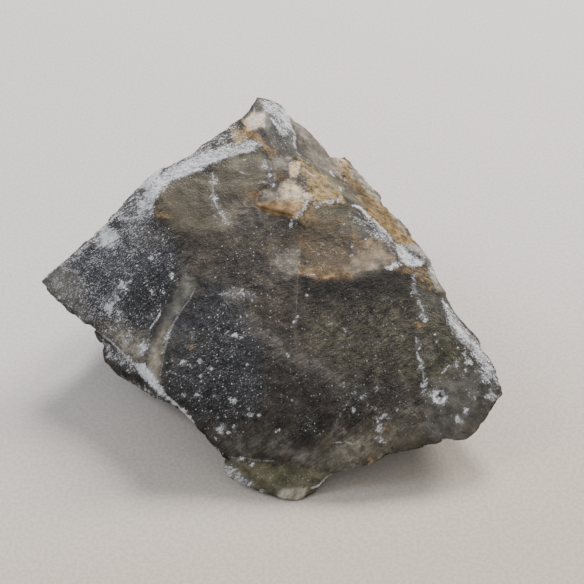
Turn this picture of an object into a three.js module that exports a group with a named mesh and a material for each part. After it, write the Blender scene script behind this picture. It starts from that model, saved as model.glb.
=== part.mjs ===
// An aragonite hand specimen: one rough block of dark, massive aragonite about 100 mm across,
// broken on every side. It lies on a small flat spot under its belly, so that its largest broken
// face leans back and looks up and forward (-Y). Millimetres, +Z up, +X to the right of that face.
//
// The block is drawn as a map of its broken facets. Corners are joined by edges, edges bound
// facets, and each facet is filled with a fine triangle mesh, sagged or swelled, and roughened.
import * as THREE from 'three';
import { ImprovedNoise } from 'three/addons/math/ImprovedNoise.js';

// ---------------------------------------------------------------- driving dimensions

const FACE_LEAN = THREE.MathUtils.degToRad(45); // how far the broken face leans back from upright
const FACE_HEIGHT = 30.3; // height of the broken face's middle above the resting face
const FACE_SPACING = 2.7; // longest mesh edge on the broken face
const REAR_SPACING = 4.2; // longest mesh edge on the rear and the underside
const SCAR_DEPTH = 1.4; // drop from the dark face to the floor of the honey-coloured scar
const SCAR_RISE = 0.7; // width of that step
const LEDGE_DROP = 1.1; // drop from the cream ledge to the dark face under it
const LEDGE_FACE = 0.5; // width of that step

// A point of the broken face: across it, up along it, and out of it.
function face(across, up, out) {
  return new THREE.Vector3(
    across,
    up * Math.sin(FACE_LEAN) - out * Math.cos(FACE_LEAN),
    up * Math.cos(FACE_LEAN) + out * Math.sin(FACE_LEAN) + FACE_HEIGHT,
  );
}

// A point of the rear or the underside, measured from the resting face.
function ground(x, y, z) {
  return new THREE.Vector3(x, y, z);
}

// ---------------------------------------------------------------- corners

const corners = {
  // round the rim of the broken face, clockwise from the left tip
  leftTip: face(-57.5, 2.5, -12),
  browStart: face(-33.5, 25.5, -12),
  shoulder: face(-14, 40.5, -20),
  apex: face(-8.5, 47, -25),
  ridgeTop: face(-2.5, 45.5, -28.5),
  rearNotch: face(9.5, 33.5, -32),
  crustEnd: face(31.5, 8.5, -16.5),
  rightShoulder: face(33.5, 3.5, -9),
  rightTip: face(46.5, -22.5, 0),
  lowerRight: face(39, -32.5, 1),
  toeRight: face(9, -39.5, 3),
  toeTip: face(1.5, -45.5, 3),
  toeLeft: face(-15, -36.5, 3),
  bandFoot: face(-29, -22.5, 4),
  bandHeel: face(-33.5, -17.5, 0.5),
  // inside the broken face
  browCorner: face(-31.5, 23, -9.5),
  browEnd: face(-11, 32, -17),
  bandTop: face(-22.5, 9, -3.5),
  chipLeft: face(-12, 40, -20.5),
  chipTop: face(-7, 43, -23.5),
  chipRight: face(-5, 41, -23),
  chipBottom: face(-6.5, 38, -20.5),
  shelfTip: face(-3.5, 32.5, -18.8),
  wedgeFoot: face(0, 31, -18.5),
  ridgeMid: face(0.5, 37, -22.5),
  ridgeFoot: face(1, 33, -20.2),
  hollow: face(-2, 26, -15.5),
  ledgeLeft: face(-9, 20, -12),
  ledgeTip: face(0.5, 17.5, -10),
  scarTopLeft: face(4.5, 20.5, -13.3),
  crestMid: face(14.5, 20.5, -17),
  crestSplit: face(23, 11, -11),
  scarRight: face(24.5, 6, -7.5),
  scarLeft: face(1.5, 4, -4.5),
  spallEnd: face(29.5, 7, -12),
  veinTop: face(27.8, 4.3, -7.5),
  veinFoot: face(27, -29, 4.2),
  toeStepEnd: face(-3, -36.5, 4.2),
  // the ledge that shows under the left face
  ledgeNose: face(-46, -9.5, -14.5),
  ledgeKnee: face(-44, -12, -15),
  ledgeShoulder: face(-44.3, -16.3, -15.5),
  ledgeEnd: face(-27.5, -25, -5),
  // the rear, from the left heel round to the right keel
  leftHeel: ground(-47, 14, 12),
  rearLeft: ground(-34, 34, 20),
  rearCrown: ground(-9, 50, 24),
  rearRight: ground(15, 43, 13),
  rightHeel: ground(30, 19, 10),
  rightKeel: ground(36, -4, 9),
  // the resting face
  baseToeLeft: ground(-5, -29, 0),
  baseToeRight: ground(4, -30, 0),
  baseRight: ground(20, -3, 0),
  baseRearRight: ground(15, 21, 0),
  baseRear: ground(-2, 28, 0),
  baseRearLeft: ground(-17, 17, 0),
  baseLeft: ground(-18, -2, 0),
};

// ---------------------------------------------------------------- edges

// Each edge runs from a corner, through points of its own, to a corner.
const scarLipPoints = [
  face(5, 4, -4.2), face(7.8, 2.8, -3.6), face(11.3, 2.3, -3.4), face(15.3, 2.8, -3.8),
  face(17.3, 4.8, -5), face(21.3, 5, -5.7),
];
const ledgeRimPoints = [face(-5, 19, -10.8), face(-2.5, 18.5, -10)];

// The same points moved up the face and sunk into it, for the foot of a step.
function stepped(points, up, sink) {
  const shift = face(0, up, -sink).sub(face(0, 0, 0));
  return points.map((point) => point.clone().add(shift));
}

const edges = {
  // the rim, clockwise
  upperLeftRim: [
    'leftTip', face(-52, 7.5, -11), face(-46.5, 13.5, -11.5), face(-41.5, 18.5, -11), 'browStart',
  ],
  browRim: ['browStart', face(-31, 28, -13), face(-24.5, 31.5, -15), face(-19, 36.5, -18), 'shoulder'],
  apexLeftRim: ['shoulder', face(-11.5, 42, -21.5), 'apex'],
  apexRightRim: ['apex', face(-6.5, 46.8, -26), 'ridgeTop'],
  rearSlopeRim: ['ridgeTop', face(0, 43, -29), face(4.5, 39.5, -30), 'rearNotch'],
  crustRim: [
    'rearNotch', face(13, 33.8, -35), face(17, 29.5, -34.5), face(19.7, 26.5, -33.5), face(23, 21, -29.5),
    face(26.5, 16.3, -26), face(29.5, 12, -21), 'crustEnd',
  ],
  crustEndRim: ['crustEnd', face(33, 6.3, -13), 'rightShoulder'],
  rightRim: [
    'rightShoulder', face(35, -2.5, -5), face(37.5, -6.5, -3.5), face(43, -13, -1), face(45.5, -18.5, 0),
    'rightTip',
  ],
  tipRim: ['rightTip', face(42, -29, 1), 'lowerRight'],
  lowerRightRim: [
    'lowerRight', face(33, -33, 3), face(30, -34, 3), face(22.5, -35.5, 4), face(17, -37.5, 4), 'toeRight',
  ],
  toeRightRim: ['toeRight', face(4.5, -44, 2), 'toeTip'],
  toeRim: ['toeTip', face(-2.5, -45, 3), face(-9.5, -43, 2), face(-15, -39.5, 1), 'toeLeft'],
  lowerLeftRim: ['toeLeft', face(-19, -32.5, 3), face(-23.5, -26.5, 4), 'bandFoot'],
  bandRim: ['bandFoot', face(-31.5, -20, 2.5), 'bandHeel'],
  leftLowerRim: [
    'bandHeel', face(-36.5, -15.5, -1.5), face(-44, -9, -6), face(-51.5, -4.5, -9), face(-57, 0.5, -12.5),
    'leftTip',
  ],
  // between the facets of the broken face
  browLeft: ['browStart', 'browCorner'],
  browFoot: ['browCorner', face(-26, 26.5, -12), face(-17, 30.5, -15), 'browEnd'],
  leftRidge: ['browCorner', face(-29, 16, -7.5), 'bandTop'],
  bandLeft: ['bandTop', face(-29, -3.5, -0.5), face(-31, -11.5, 0.5), 'bandHeel'],
  bandRight: ['bandTop', face(-23.5, -2, 0.5), face(-28, -11.5, 2.5), 'bandFoot'],
  shoulderStep: ['shoulder', 'chipLeft'],
  chipUpper: ['chipLeft', 'chipTop'],
  capEdge: ['chipTop', 'apex'],
  chipSide: ['chipTop', 'chipRight'],
  chipLower: ['chipLeft', face(-9.5, 38.7, -20.2), 'chipBottom'],
  chipRightEdge: ['chipBottom', 'chipRight'],
  wedgeTop: ['chipRight', face(-3, 38.5, -22.3), 'ridgeMid'],
  ridgeUpper: ['ridgeTop', face(-0.5, 42, -25.5), 'ridgeMid'],
  ridgeLower: ['ridgeMid', 'ridgeFoot'],
  wedgeSideUpper: ['chipBottom', face(-5.5, 34.5, -20), 'shelfTip'],
  wedgeSideLower: ['shelfTip', 'wedgeFoot'],
  wedgeRight: ['wedgeFoot', 'ridgeFoot'],
  shelfLeft: ['shoulder', face(-12.5, 36, -18.5), 'browEnd'],
  shelfFoot: ['browEnd', face(-6.5, 32.5, -18), 'shelfTip'],
  faceTop: ['bandTop', face(-16, 11.5, -5.5), face(-9.5, 14.5, -8.5), 'ledgeLeft'],
  plateLeft: ['ledgeLeft', face(-7, 23, -13.5), 'hollow'],
  hollowSide: ['hollow', face(-0.5, 27.5, -16.3), 'wedgeFoot'],
  ledgeRim: ['ledgeLeft', ...ledgeRimPoints, 'ledgeTip'],
  ledgeFace: ['ledgeLeft', ...stepped(ledgeRimPoints, -LEDGE_FACE, LEDGE_DROP), 'ledgeTip'],
  platePowder: ['ledgeTip', face(2.8, 18.5, -11.5), 'scarTopLeft'],
  plateTop: ['scarTopLeft', face(2, 24.5, -14.8), 'hollow'],
  scarTop: ['scarTopLeft', face(7, 20.5, -14.5), face(10.5, 20.7, -16), 'crestMid'],
  crestUpper: ['ridgeFoot', face(5, 30, -20), face(8.5, 26.5, -19), face(11.5, 22.8, -18), 'crestMid'],
  crestLower: ['crestMid', face(19, 16, -14), 'crestSplit'],
  scarSide: ['crestSplit', face(23.7, 8.5, -9.5), 'scarRight'],
  scarEdge: ['ledgeTip', face(1.5, 14, -9.5), face(2, 9, -7), 'scarLeft'],
  scarLip: ['scarLeft', ...scarLipPoints, 'scarRight'],
  scarFoot: ['scarLeft', ...stepped(scarLipPoints, SCAR_RISE, SCAR_DEPTH), 'scarRight'],
  spallTop: ['crestSplit', face(26, 9.5, -12), 'spallEnd'],
  spallFoot: ['scarRight', face(27, 6, -9), 'spallEnd'],
  scarLipRight: ['scarRight', face(26, 4.8, -7.3), 'veinTop'],
  veinHead: ['veinTop', 'spallEnd'],
  crustInner: ['rearNotch', face(12.5, 27, -28), 'crestMid'],
  crustTail: ['spallEnd', 'crustEnd'],
  ochreEdge: ['spallEnd', 'rightShoulder'],
  bevelInner: [
    'rightShoulder', face(32, -3, -3), face(35.5, -9.5, -1), face(41, -16, 1), face(44, -20, 1.5), 'rightTip',
  ],
  vein: [
    'veinTop', face(27, -1, -4), face(27.3, -7.5, -1.2), face(27.5, -15, 1.2), face(28.5, -21.5, 2.8),
    'veinFoot',
  ],
  creaseRight: ['veinFoot', face(34, -28.5, 3.4), face(40.5, -25.5, 2.4), 'rightTip'],
  creaseLower: ['toeStepEnd', face(11.5, -32, 4.8), 'veinFoot'],
  toeStep: ['toeLeft', face(-9, -36.5, 4), 'toeStepEnd'],
  toeCrease: ['toeStepEnd', face(3, -38, 4), 'toeRight'],
  // the ledge under the left face
  heelSeam: ['leftHeel', 'ledgeNose'],
  tipSeam: ['leftHeel', 'leftTip'],
  ledgeCrestLeft: ['ledgeNose', 'ledgeKnee'],
  ledgeCrest: ['ledgeKnee', face(-37.5, -16.3, -13), face(-32, -21.5, -9), 'ledgeEnd'],
  ledgeEndSeam: ['ledgeEnd', 'bandFoot'],
  ledgeFront: ['ledgeKnee', 'ledgeShoulder'],
  ledgeWaist: ['ledgeShoulder', face(-40, -18, -13.8), face(-35, -20.5, -12), 'ledgeEnd'],
  ledgeFoot: [
    'ledgeShoulder', face(-41.5, -19.3, -15), face(-37.5, -21.3, -14), face(-34.5, -23, -13),
    face(-31.8, -24.6, -11),
    'ledgeEnd',
  ],
  ledgeDrop: ['ledgeShoulder', ground(-33, -2, 2.5), 'baseLeft'],
  // the rear and the underside
  rearLeftSeam: ['browStart', ground(-36, 32, 30), 'rearLeft'],
  rearLeftFoot: ['rearLeft', ground(-43, 25, 15), 'leftHeel'],
  crownSeam: ['apex', ground(-11, 52, 35), 'rearCrown'],
  rearTopFoot: ['rearCrown', ground(-22, 44, 25), 'rearLeft'],
  notchSeam: ['rearNotch', ground(12, 47.5, 22), 'rearRight'],
  rearCrownFoot: ['rearRight', ground(4, 49.5, 17), 'rearCrown'],
  crustSeam: ['crustEnd', ground(33, 19, 17), 'rightHeel'],
  rearRightFoot: ['rightHeel', ground(24, 33, 13), 'rearRight'],
  tipUnderSeam: ['rightTip', ground(41.5, -11, 11), 'rightKeel'],
  rightFoot: ['rightKeel', ground(35.5, 8, 12), 'rightHeel'],
  keelSeam: ['baseRight', ground(29, -7, 3), 'rightKeel'],
  toeRightSeam: ['toeRight', 'baseToeRight'],
  toeLeftSeam: ['toeLeft', 'baseToeLeft'],
  rearLeftDrop: ['rearLeft', ground(-26, 29, 7), 'baseRearLeft'],
  rearRib: ['rearCrown', ground(-5, 41, 10), 'baseRear'],
  rearRightDrop: ['rearRight', ground(18, 33, 4), 'baseRearRight'],
  // the resting face, anticlockwise from above
  baseFront: ['baseToeLeft', 'baseToeRight'],
  baseRightFront: ['baseToeRight', ground(12, -17, 0), 'baseRight'],
  baseRightSide: ['baseRight', ground(19, 11, 0), 'baseRearRight'],
  baseRearRightSide: ['baseRearRight', ground(7, 28, 0), 'baseRear'],
  baseRearLeftSide: ['baseRear', ground(-11, 25, 0), 'baseRearLeft'],
  baseLeftSide: ['baseRearLeft', ground(-20, 8, 0), 'baseLeft'],
  baseLeftFront: ['baseLeft', ground(-11, -15, 0), 'baseToeLeft'],
};

// ---------------------------------------------------------------- facets

// Each facet is its edges in turn, anticlockwise from outside; a minus sign runs one backwards.
// swell is how far its middle stands out of the film that its edges would hold.
const facets = {
  leftFace: { swell: 0.8, loop: '-leftLowerRim -bandLeft -leftRidge -browLeft -upperLeftRim' },
  brow: { swell: 0.5, loop: 'browLeft browFoot -shelfLeft -browRim' },
  band: { swell: -0.3, loop: 'bandLeft -bandRim -bandRight' },
  cap: { swell: 0, loop: 'capEdge -apexLeftRim shoulderStep chipUpper' },
  whiteCap: { swell: 0.3, loop: '-capEdge chipSide wedgeTop -ridgeUpper -apexRightRim' },
  chip: { swell: 0.3, loop: '-chipUpper chipLower chipRightEdge -chipSide' },
  darkWedge: {
    swell: -0.4,
    loop: '-wedgeTop -chipRightEdge wedgeSideUpper wedgeSideLower wedgeRight -ridgeLower',
  },
  shelf: { swell: 0.4, loop: '-shoulderStep shelfLeft shelfFoot -wedgeSideUpper -chipLower' },
  upperFace: {
    swell: 0.5,
    loop: 'leftRidge faceTop plateLeft hollowSide -wedgeSideLower -shelfFoot -browFoot',
  },
  ledgePlate: { swell: 0.5, loop: 'ledgeRim platePowder plateTop -plateLeft' },
  ledgeStep: { swell: 0, loop: 'ledgeFace -ledgeRim' },
  goldCrust: { swell: 0.5, loop: '-plateTop scarTop -crestUpper -wedgeRight -hollowSide' },
  scar: { swell: -1.6, loop: 'scarFoot -scarSide -crestLower -scarTop -platePowder scarEdge' },
  scarStep: { swell: 0, loop: 'scarLip -scarFoot' },
  spall: { swell: 0, loop: 'scarSide spallFoot -spallTop' },
  ochreRim: { swell: 0, loop: 'scarLipRight veinHead -spallFoot' },
  rearSlope: { swell: -0.8, loop: 'ridgeUpper ridgeLower crestUpper -crustInner -rearSlopeRim' },
  crust: { swell: 0.9, loop: 'crustInner crestLower spallTop crustTail -crustRim' },
  crustEndFace: { swell: 0, loop: 'ochreEdge -crustEndRim -crustTail' },
  rightBevel: { swell: 0.2, loop: 'bevelInner -rightRim' },
  rightFace: { swell: 0.7, loop: 'vein creaseRight -bevelInner -ochreEdge -veinHead' },
  centreFace: {
    swell: 2.5,
    loop:
      'bandRight -lowerLeftRim toeStep creaseLower -vein -scarLipRight -scarLip -scarEdge ' +
      '-ledgeFace -faceTop',
  },
  lowerBevel: { swell: 0.6, loop: '-lowerRightRim -tipRim -creaseRight -creaseLower toeCrease' },
  toe: { swell: -0.4, loop: '-toeRim -toeRightRim -toeCrease -toeStep' },
  undercut: {
    swell: -2.5,
    loop: 'bandRim leftLowerRim -tipSeam heelSeam ledgeCrestLeft ledgeCrest ledgeEndSeam',
  },
  ledgeBand: { swell: 0, loop: '-ledgeCrest ledgeFront ledgeWaist' },
  ledgeUnder: { swell: 0, loop: '-ledgeWaist ledgeFoot' },
  leftLow: {
    swell: 1,
    rear: true,
    loop: '-heelSeam -rearLeftFoot rearLeftDrop baseLeftSide -ledgeDrop -ledgeFront -ledgeCrestLeft',
  },
  leftUnder: {
    swell: -1.5,
    rear: true,
    loop: 'lowerLeftRim -ledgeEndSeam -ledgeFoot ledgeDrop baseLeftFront -toeLeftSeam',
  },
  toeUnder: {
    swell: 0,
    rear: true,
    loop: 'toeRightRim toeRim toeLeftSeam baseFront -toeRightSeam',
  },
  rightUnder: {
    swell: -1.5,
    rear: true,
    loop: 'tipRim lowerRightRim toeRightSeam baseRightFront keelSeam -tipUnderSeam',
  },
  rightRear: {
    swell: 1,
    rear: true,
    loop: 'crustEndRim rightRim tipUnderSeam rightFoot -crustSeam',
  },
  rightLow: {
    swell: 1.5,
    rear: true,
    loop: '-rearRightFoot -rightFoot -keelSeam baseRightSide -rearRightDrop',
  },
  rearRightFace: { swell: -1, rear: true, loop: 'crustRim crustSeam rearRightFoot -notchSeam' },
  rearCrownFace: {
    swell: -1.2,
    rear: true,
    loop: 'apexRightRim rearSlopeRim notchSeam rearCrownFoot -crownSeam',
  },
  rearTopFace: {
    swell: 1,
    rear: true,
    loop: 'browRim apexLeftRim crownSeam rearTopFoot -rearLeftSeam',
  },
  rearLeftFace: { swell: -1, rear: true, loop: 'upperLeftRim rearLeftSeam rearLeftFoot tipSeam' },
  rearLowLeft: {
    swell: 1.5,
    rear: true,
    loop: '-rearTopFoot rearRib baseRearLeftSide -rearLeftDrop',
  },
  rearLowRight: {
    swell: -1,
    rear: true,
    loop: '-rearCrownFoot rearRightDrop baseRearRightSide -rearRib',
  },
  restingFace: {
    swell: 0,
    rear: true,
    loop:
      '-baseFront -baseLeftFront -baseLeftSide -baseRearLeftSide -baseRearRightSide ' +
      '-baseRightSide -baseRightFront',
  },
};

// ---------------------------------------------------------------- filling the facets

const TURN_ROUNDS = 8; // passes that turn edges after each halving
const RELAX_ROUNDS = 6; // passes that even out the points after each halving
const LAST_TURN_ROUNDS = 12; // passes that turn edges in the finished mesh
const LAST_RELAX_ROUNDS = 60; // passes that even out the points of the finished mesh
const SWELL_ROUNDS = 400; // passes that spread a facet's swell from its edges to its middle
const TURN_MARGIN = 0.01; // radians past even-sided before an edge is turned
const LEAST_AGREEMENT = 0.5; // cosine of the most that turning an edge may tilt a triangle

// One number for the edge between two points, whichever way it runs.
function edgeKey(a, b) {
  const stride = 1 << 20;
  return a < b ? a * stride + b : b * stride + a;
}

// The name of a triangle's side: one name on both sides of a seam between facets, and one name
// for each facet elsewhere, so that two facets never share a side that crosses a bent seam.
function sideName(seams, facet, a, b) {
  const key = edgeKey(a, b);
  return seams.has(key) ? key : `${facet} ${key}`;
}

// Cuts a closed loop of points into triangles, seen square on to the loop.
function cutLoop(points, loop) {
  const middle = new THREE.Vector3();
  const normal = new THREE.Vector3();
  loop.forEach((index) => middle.addScaledVector(points[index], 1 / loop.length));
  loop.forEach((index, step) => {
    const here = points[index].clone().sub(middle);
    const next = points[loop[(step + 1) % loop.length]].clone().sub(middle);
    normal.add(here.cross(next));
  });
  normal.normalize();
  const turn = new THREE.Quaternion().setFromUnitVectors(normal, new THREE.Vector3(0, 0, 1));
  const outline = loop.map((index) => {
    const flat = points[index].clone().sub(middle).applyQuaternion(turn);
    return new THREE.Vector2(flat.x, flat.y);
  });
  return THREE.ShapeUtils.triangulateShape(outline, []).map((corner) => {
    const [a, b, c] = corner.map((step) => outline[step]);
    const turnsLeft = b.clone().sub(a).cross(c.clone().sub(a)) > 0;
    const [i, j, k] = corner.map((step) => loop[step]);
    return turnsLeft ? [i, j, k] : [i, k, j];
  });
}

// The coarse mesh: every corner and edge point once, and each facet's triangles.
function drawFacets() {
  const points = [];
  const cornerIndex = {};
  for (const [name, point] of Object.entries(corners)) {
    cornerIndex[name] = points.push(point.clone()) - 1;
  }
  const chains = {};
  for (const [name, stops] of Object.entries(edges)) {
    const indexOf = (stop) => (typeof stop === 'string' ? cornerIndex[stop] : points.push(stop.clone()) - 1);
    chains[name] = stops.map(indexOf);
  }
  const seams = new Set();
  for (const chain of Object.values(chains)) {
    chain.slice(1).forEach((index, step) => seams.add(edgeKey(chain[step], index)));
  }
  const triangles = [];
  for (const [facet, { loop }] of Object.entries(facets)) {
    const ring = loop.split(' ').flatMap((term) => {
      const chain = term.startsWith('-') ? [...chains[term.slice(1)]].reverse() : chains[term];
      return chain.slice(0, -1);
    });
    cutLoop(points, ring).forEach((at) => triangles.push({ at, facet }));
  }
  return { points, triangles, seams };
}

// Halves every edge that is longer than the spacing asked for at its middle.
function splitLongEdges({ points, triangles, seams }, spacingAt) {
  const meeting = new Map();
  for (const { at, facet } of triangles) {
    at.forEach((from, step) => {
      const name = sideName(seams, facet, from, at[(step + 1) % 3]);
      meeting.set(name, [...(meeting.get(name) ?? []), facet]);
    });
  }
  const middles = new Map();
  const newSeams = [];
  const middleOf = (facet, a, b) => {
    const name = sideName(seams, facet, a, b);
    if (!middles.has(name)) {
      const middle = points[a].clone().lerp(points[b], 0.5);
      const long = points[a].distanceTo(points[b]) > spacingAt(middle, meeting.get(name));
      middles.set(name, long ? points.push(middle) - 1 : null);
      const index = middles.get(name);
      if (long && seams.has(name)) newSeams.push(edgeKey(a, index), edgeKey(index, b));
    }
    return middles.get(name);
  };
  const finer = [];
  for (const { at, facet } of triangles) {
    const cuts = at.map((from, step) => middleOf(facet, from, at[(step + 1) % 3]));
    const count = cuts.filter((cut) => cut !== null).length;
    // turned so that one cut is on the first side, and two cuts are on the first and second
    const firstCut = Math.max(0, cuts.findIndex((cut) => cut !== null));
    const first = count === 2 ? (cuts.indexOf(null) + 1) % 3 : firstCut;
    const [a, b, c] = [0, 1, 2].map((step) => at[(first + step) % 3]);
    const [ab, bc, ca] = [0, 1, 2].map((step) => cuts[(first + step) % 3]);
    const pieces = {
      0: () => [[a, b, c]],
      1: () => [[a, ab, c], [ab, b, c]],
      2: () => [[ab, b, bc], [a, ab, bc], [a, bc, c]],
      3: () => [[a, ab, ca], [ab, b, bc], [ca, bc, c], [ab, bc, ca]],
    }[count]();
    pieces.forEach((piece) => finer.push({ at: piece, facet }));
  }
  newSeams.forEach((key) => seams.add(key));
  const grew = finer.length > triangles.length;
  triangles.length = 0;
  finer.forEach((triangle) => triangles.push(triangle));
  return grew;
}

// The angle at a point between two others.
function angleAt(tip, left, right) {
  return left.clone().sub(tip).angleTo(right.clone().sub(tip));
}

// Turns edges inside a facet, so that its triangles come near to even-sided.
function turnEdges({ points, triangles, seams }) {
  const sides = new Map();
  triangles.forEach(({ at, facet }, index) => {
    at.forEach((from, step) => {
      const name = sideName(seams, facet, from, at[(step + 1) % 3]);
      if (!sides.has(name)) sides.set(name, []);
      sides.get(name).push({ index, step });
    });
  });
  const touched = new Set();
  const made = new Set();
  for (const [one, two] of sides.values()) {
    const [first, second] = [triangles[one.index], triangles[two.index]];
    if (first.facet !== second.facet || touched.has(one.index) || touched.has(two.index)) continue;
    const [a, b, c] = [0, 1, 2].map((step) => first.at[(one.step + step) % 3]);
    const d = second.at[(two.step + 2) % 3];
    const [pa, pb, pc, pd] = [a, b, c, d].map((index) => points[index]);
    const cross = sideName(seams, first.facet, c, d);
    if (sides.has(cross) || made.has(cross)) continue;
    if (angleAt(pc, pa, pb) + angleAt(pd, pa, pb) <= Math.PI + TURN_MARGIN) continue;
    const before = new THREE.Triangle(pa, pb, pc).getNormal(new THREE.Vector3());
    const left = new THREE.Triangle(pc, pa, pd).getNormal(new THREE.Vector3());
    const right = new THREE.Triangle(pc, pd, pb).getNormal(new THREE.Vector3());
    if (Math.min(left.dot(before), right.dot(before)) < LEAST_AGREEMENT) continue;
    first.at = [c, a, d];
    second.at = [c, d, b];
    touched.add(one.index).add(two.index);
    made.add(cross);
  }
  return touched.size > 0;
}

// Each point's neighbours, and whether it lies on an edge between facets.
function surroundings({ points, triangles }) {
  const around = points.map(() => new Set());
  const facetOf = points.map(() => null);
  const onEdge = points.map(() => false);
  for (const { at, facet } of triangles) {
    at.forEach((here, step) => {
      around[here].add(at[(step + 1) % 3]).add(at[(step + 2) % 3]);
      if (facetOf[here] !== null && facetOf[here] !== facet) onEdge[here] = true;
      facetOf[here] = facet;
    });
  }
  return { around: around.map((set) => [...set]), facetOf, onEdge };
}

// Draws the points inside each facet towards the film that its edges would hold.
function relax(mesh, rounds) {
  const { around, onEdge } = surroundings(mesh);
  for (let round = 0; round < rounds; round += 1) {
    mesh.points.forEach((point, index) => {
      if (onEdge[index]) return;
      point.set(0, 0, 0);
      around[index].forEach((other) => point.addScaledVector(mesh.points[other], 1 / around[index].length));
    });
  }
}

// Each point's outward direction.
function outward({ points, triangles }) {
  const normals = points.map(() => new THREE.Vector3());
  for (const { at } of triangles) {
    const [a, b, c] = at.map((index) => points[index]);
    const normal = b.clone().sub(a).cross(c.clone().sub(a));
    at.forEach((index) => normals[index].add(normal));
  }
  return normals.map((normal) => normal.normalize());
}

// Swells or sags each facet: nothing at its edges, its full swell at its middle.
function swellFacets(mesh) {
  const { around, facetOf, onEdge } = surroundings(mesh);
  const height = mesh.points.map(() => 0);
  for (let round = 0; round < SWELL_ROUNDS; round += 1) {
    height.forEach((_, index) => {
      if (onEdge[index]) return;
      const sum = around[index].reduce((total, other) => total + height[other], 0);
      height[index] = sum / around[index].length + 1;
    });
  }
  const tallest = {};
  height.forEach((value, index) => {
    if (!onEdge[index]) tallest[facetOf[index]] = Math.max(value, tallest[facetOf[index]] ?? 0);
  });
  const normals = outward(mesh);
  mesh.points.forEach((point, index) => {
    if (onEdge[index]) return;
    const share = height[index] / tallest[facetOf[index]];
    point.addScaledVector(normals[index], facets[facetOf[index]].swell * share);
  });
}

// ---------------------------------------------------------------- roughness and small forms

const noise = new ImprovedNoise();

// Smooth noise from -1 to 1 or so, at a scale in millimetres.
function noiseAt(point, scale, seed) {
  return noise.noise(point.x / scale + seed, point.y / scale - seed, point.z / scale + seed / 2);
}

const ROUGHNESS = [
  { scale: 17, height: 0.9, seed: 3.1 },
  { scale: 7, height: 0.5, seed: 11.7 },
  { scale: 3.5, height: 0.3, seed: 23.3 },
];
const FACE_SHARE = 0.5; // the broken face has this share of the rear's roughness
const FLAT_ZONE = 1.5; // the roughness fades out this far above the resting face

// Roughens the whole block, and leaves the resting face flat.
function roughen(mesh) {
  const normals = outward(mesh);
  const { facetOf } = surroundings(mesh);
  mesh.points.forEach((point, index) => {
    const share = facets[facetOf[index]].rear ? 1 : FACE_SHARE;
    const fade = THREE.MathUtils.smoothstep(point.z, 0, FLAT_ZONE);
    const heights = ROUGHNESS.map(({ scale, height, seed }) => height * noiseAt(point, scale, seed));
    const height = heights.reduce((sum, layer) => sum + layer, 0);
    point.addScaledVector(normals[index], height * share * fade);
  });
}

// The lumpy brown crust on the right rear: round knobs crowded together, with creases between.
const knobs = { facet: 'crust', size: 6, height: 1.8, spacing: 1.7, seed: 41.9 };

function addKnobs(mesh) {
  const normals = outward(mesh);
  const { facetOf, onEdge } = surroundings(mesh);
  mesh.points.forEach((point, index) => {
    if (facetOf[index] !== knobs.facet || onEdge[index]) return;
    const rise = knobs.height * Math.abs(noiseAt(point, knobs.size, knobs.seed));
    point.addScaledVector(normals[index], rise);
  });
}

// A small round impact pit: a shallow saucer with a hole in its middle.
const pit = {
  centre: face(32.8, -22.4, 2.6),
  reach: 2,
  dish: 0.35,
  holeReach: 1,
  holeDepth: 1.1,
  spacing: 0.75,
  fineZone: 3, // the mesh is this fine as far as this from the centre
  limit: 4, // points farther than this from the centre stay where they are
};

function sinkPit(mesh) {
  const inward = face(0, 0, -1).sub(face(0, 0, 0));
  mesh.points.forEach((point) => {
    const away = point.clone().sub(pit.centre);
    away.addScaledVector(inward, -away.dot(inward));
    const sink =
      pit.dish * (1 - THREE.MathUtils.smoothstep(away.length(), 0, pit.reach)) +
      pit.holeDepth * (1 - THREE.MathUtils.smoothstep(away.length(), 0, pit.holeReach));
    if (point.distanceTo(pit.centre) < pit.limit) point.addScaledVector(inward, sink);
  });
}

// ---------------------------------------------------------------- the block

// The longest side allowed at a point, on the facets that meet there.
function spacingAt(point, names) {
  if (point.distanceTo(pit.centre) < pit.fineZone) return pit.spacing;
  if (names.includes(knobs.facet)) return knobs.spacing;
  return names.every((name) => facets[name].rear) ? REAR_SPACING : FACE_SPACING;
}

function makeBlock() {
  const mesh = drawFacets();
  while (splitLongEdges(mesh, spacingAt)) {
    for (let round = 0; round < TURN_ROUNDS && turnEdges(mesh); round += 1);
    relax(mesh, RELAX_ROUNDS);
  }
  for (let round = 0; round < LAST_TURN_ROUNDS && turnEdges(mesh); round += 1);
  relax(mesh, LAST_RELAX_ROUNDS);
  swellFacets(mesh);
  addKnobs(mesh);
  roughen(mesh);
  sinkPit(mesh);
  const geometry = new THREE.BufferGeometry().setFromPoints(mesh.points);
  geometry.setIndex(mesh.triangles.flatMap(({ at }) => at));
  geometry.computeVertexNormals();
  return geometry;
}

const stone = new THREE.MeshStandardMaterial({ color: 0x56524c, roughness: 0.78, metalness: 0 });

const specimen = new THREE.Group();
const block = new THREE.Mesh(makeBlock(), stone);
block.name = 'aragonite_block';
specimen.add(block);

export default specimen;
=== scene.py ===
import math

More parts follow.
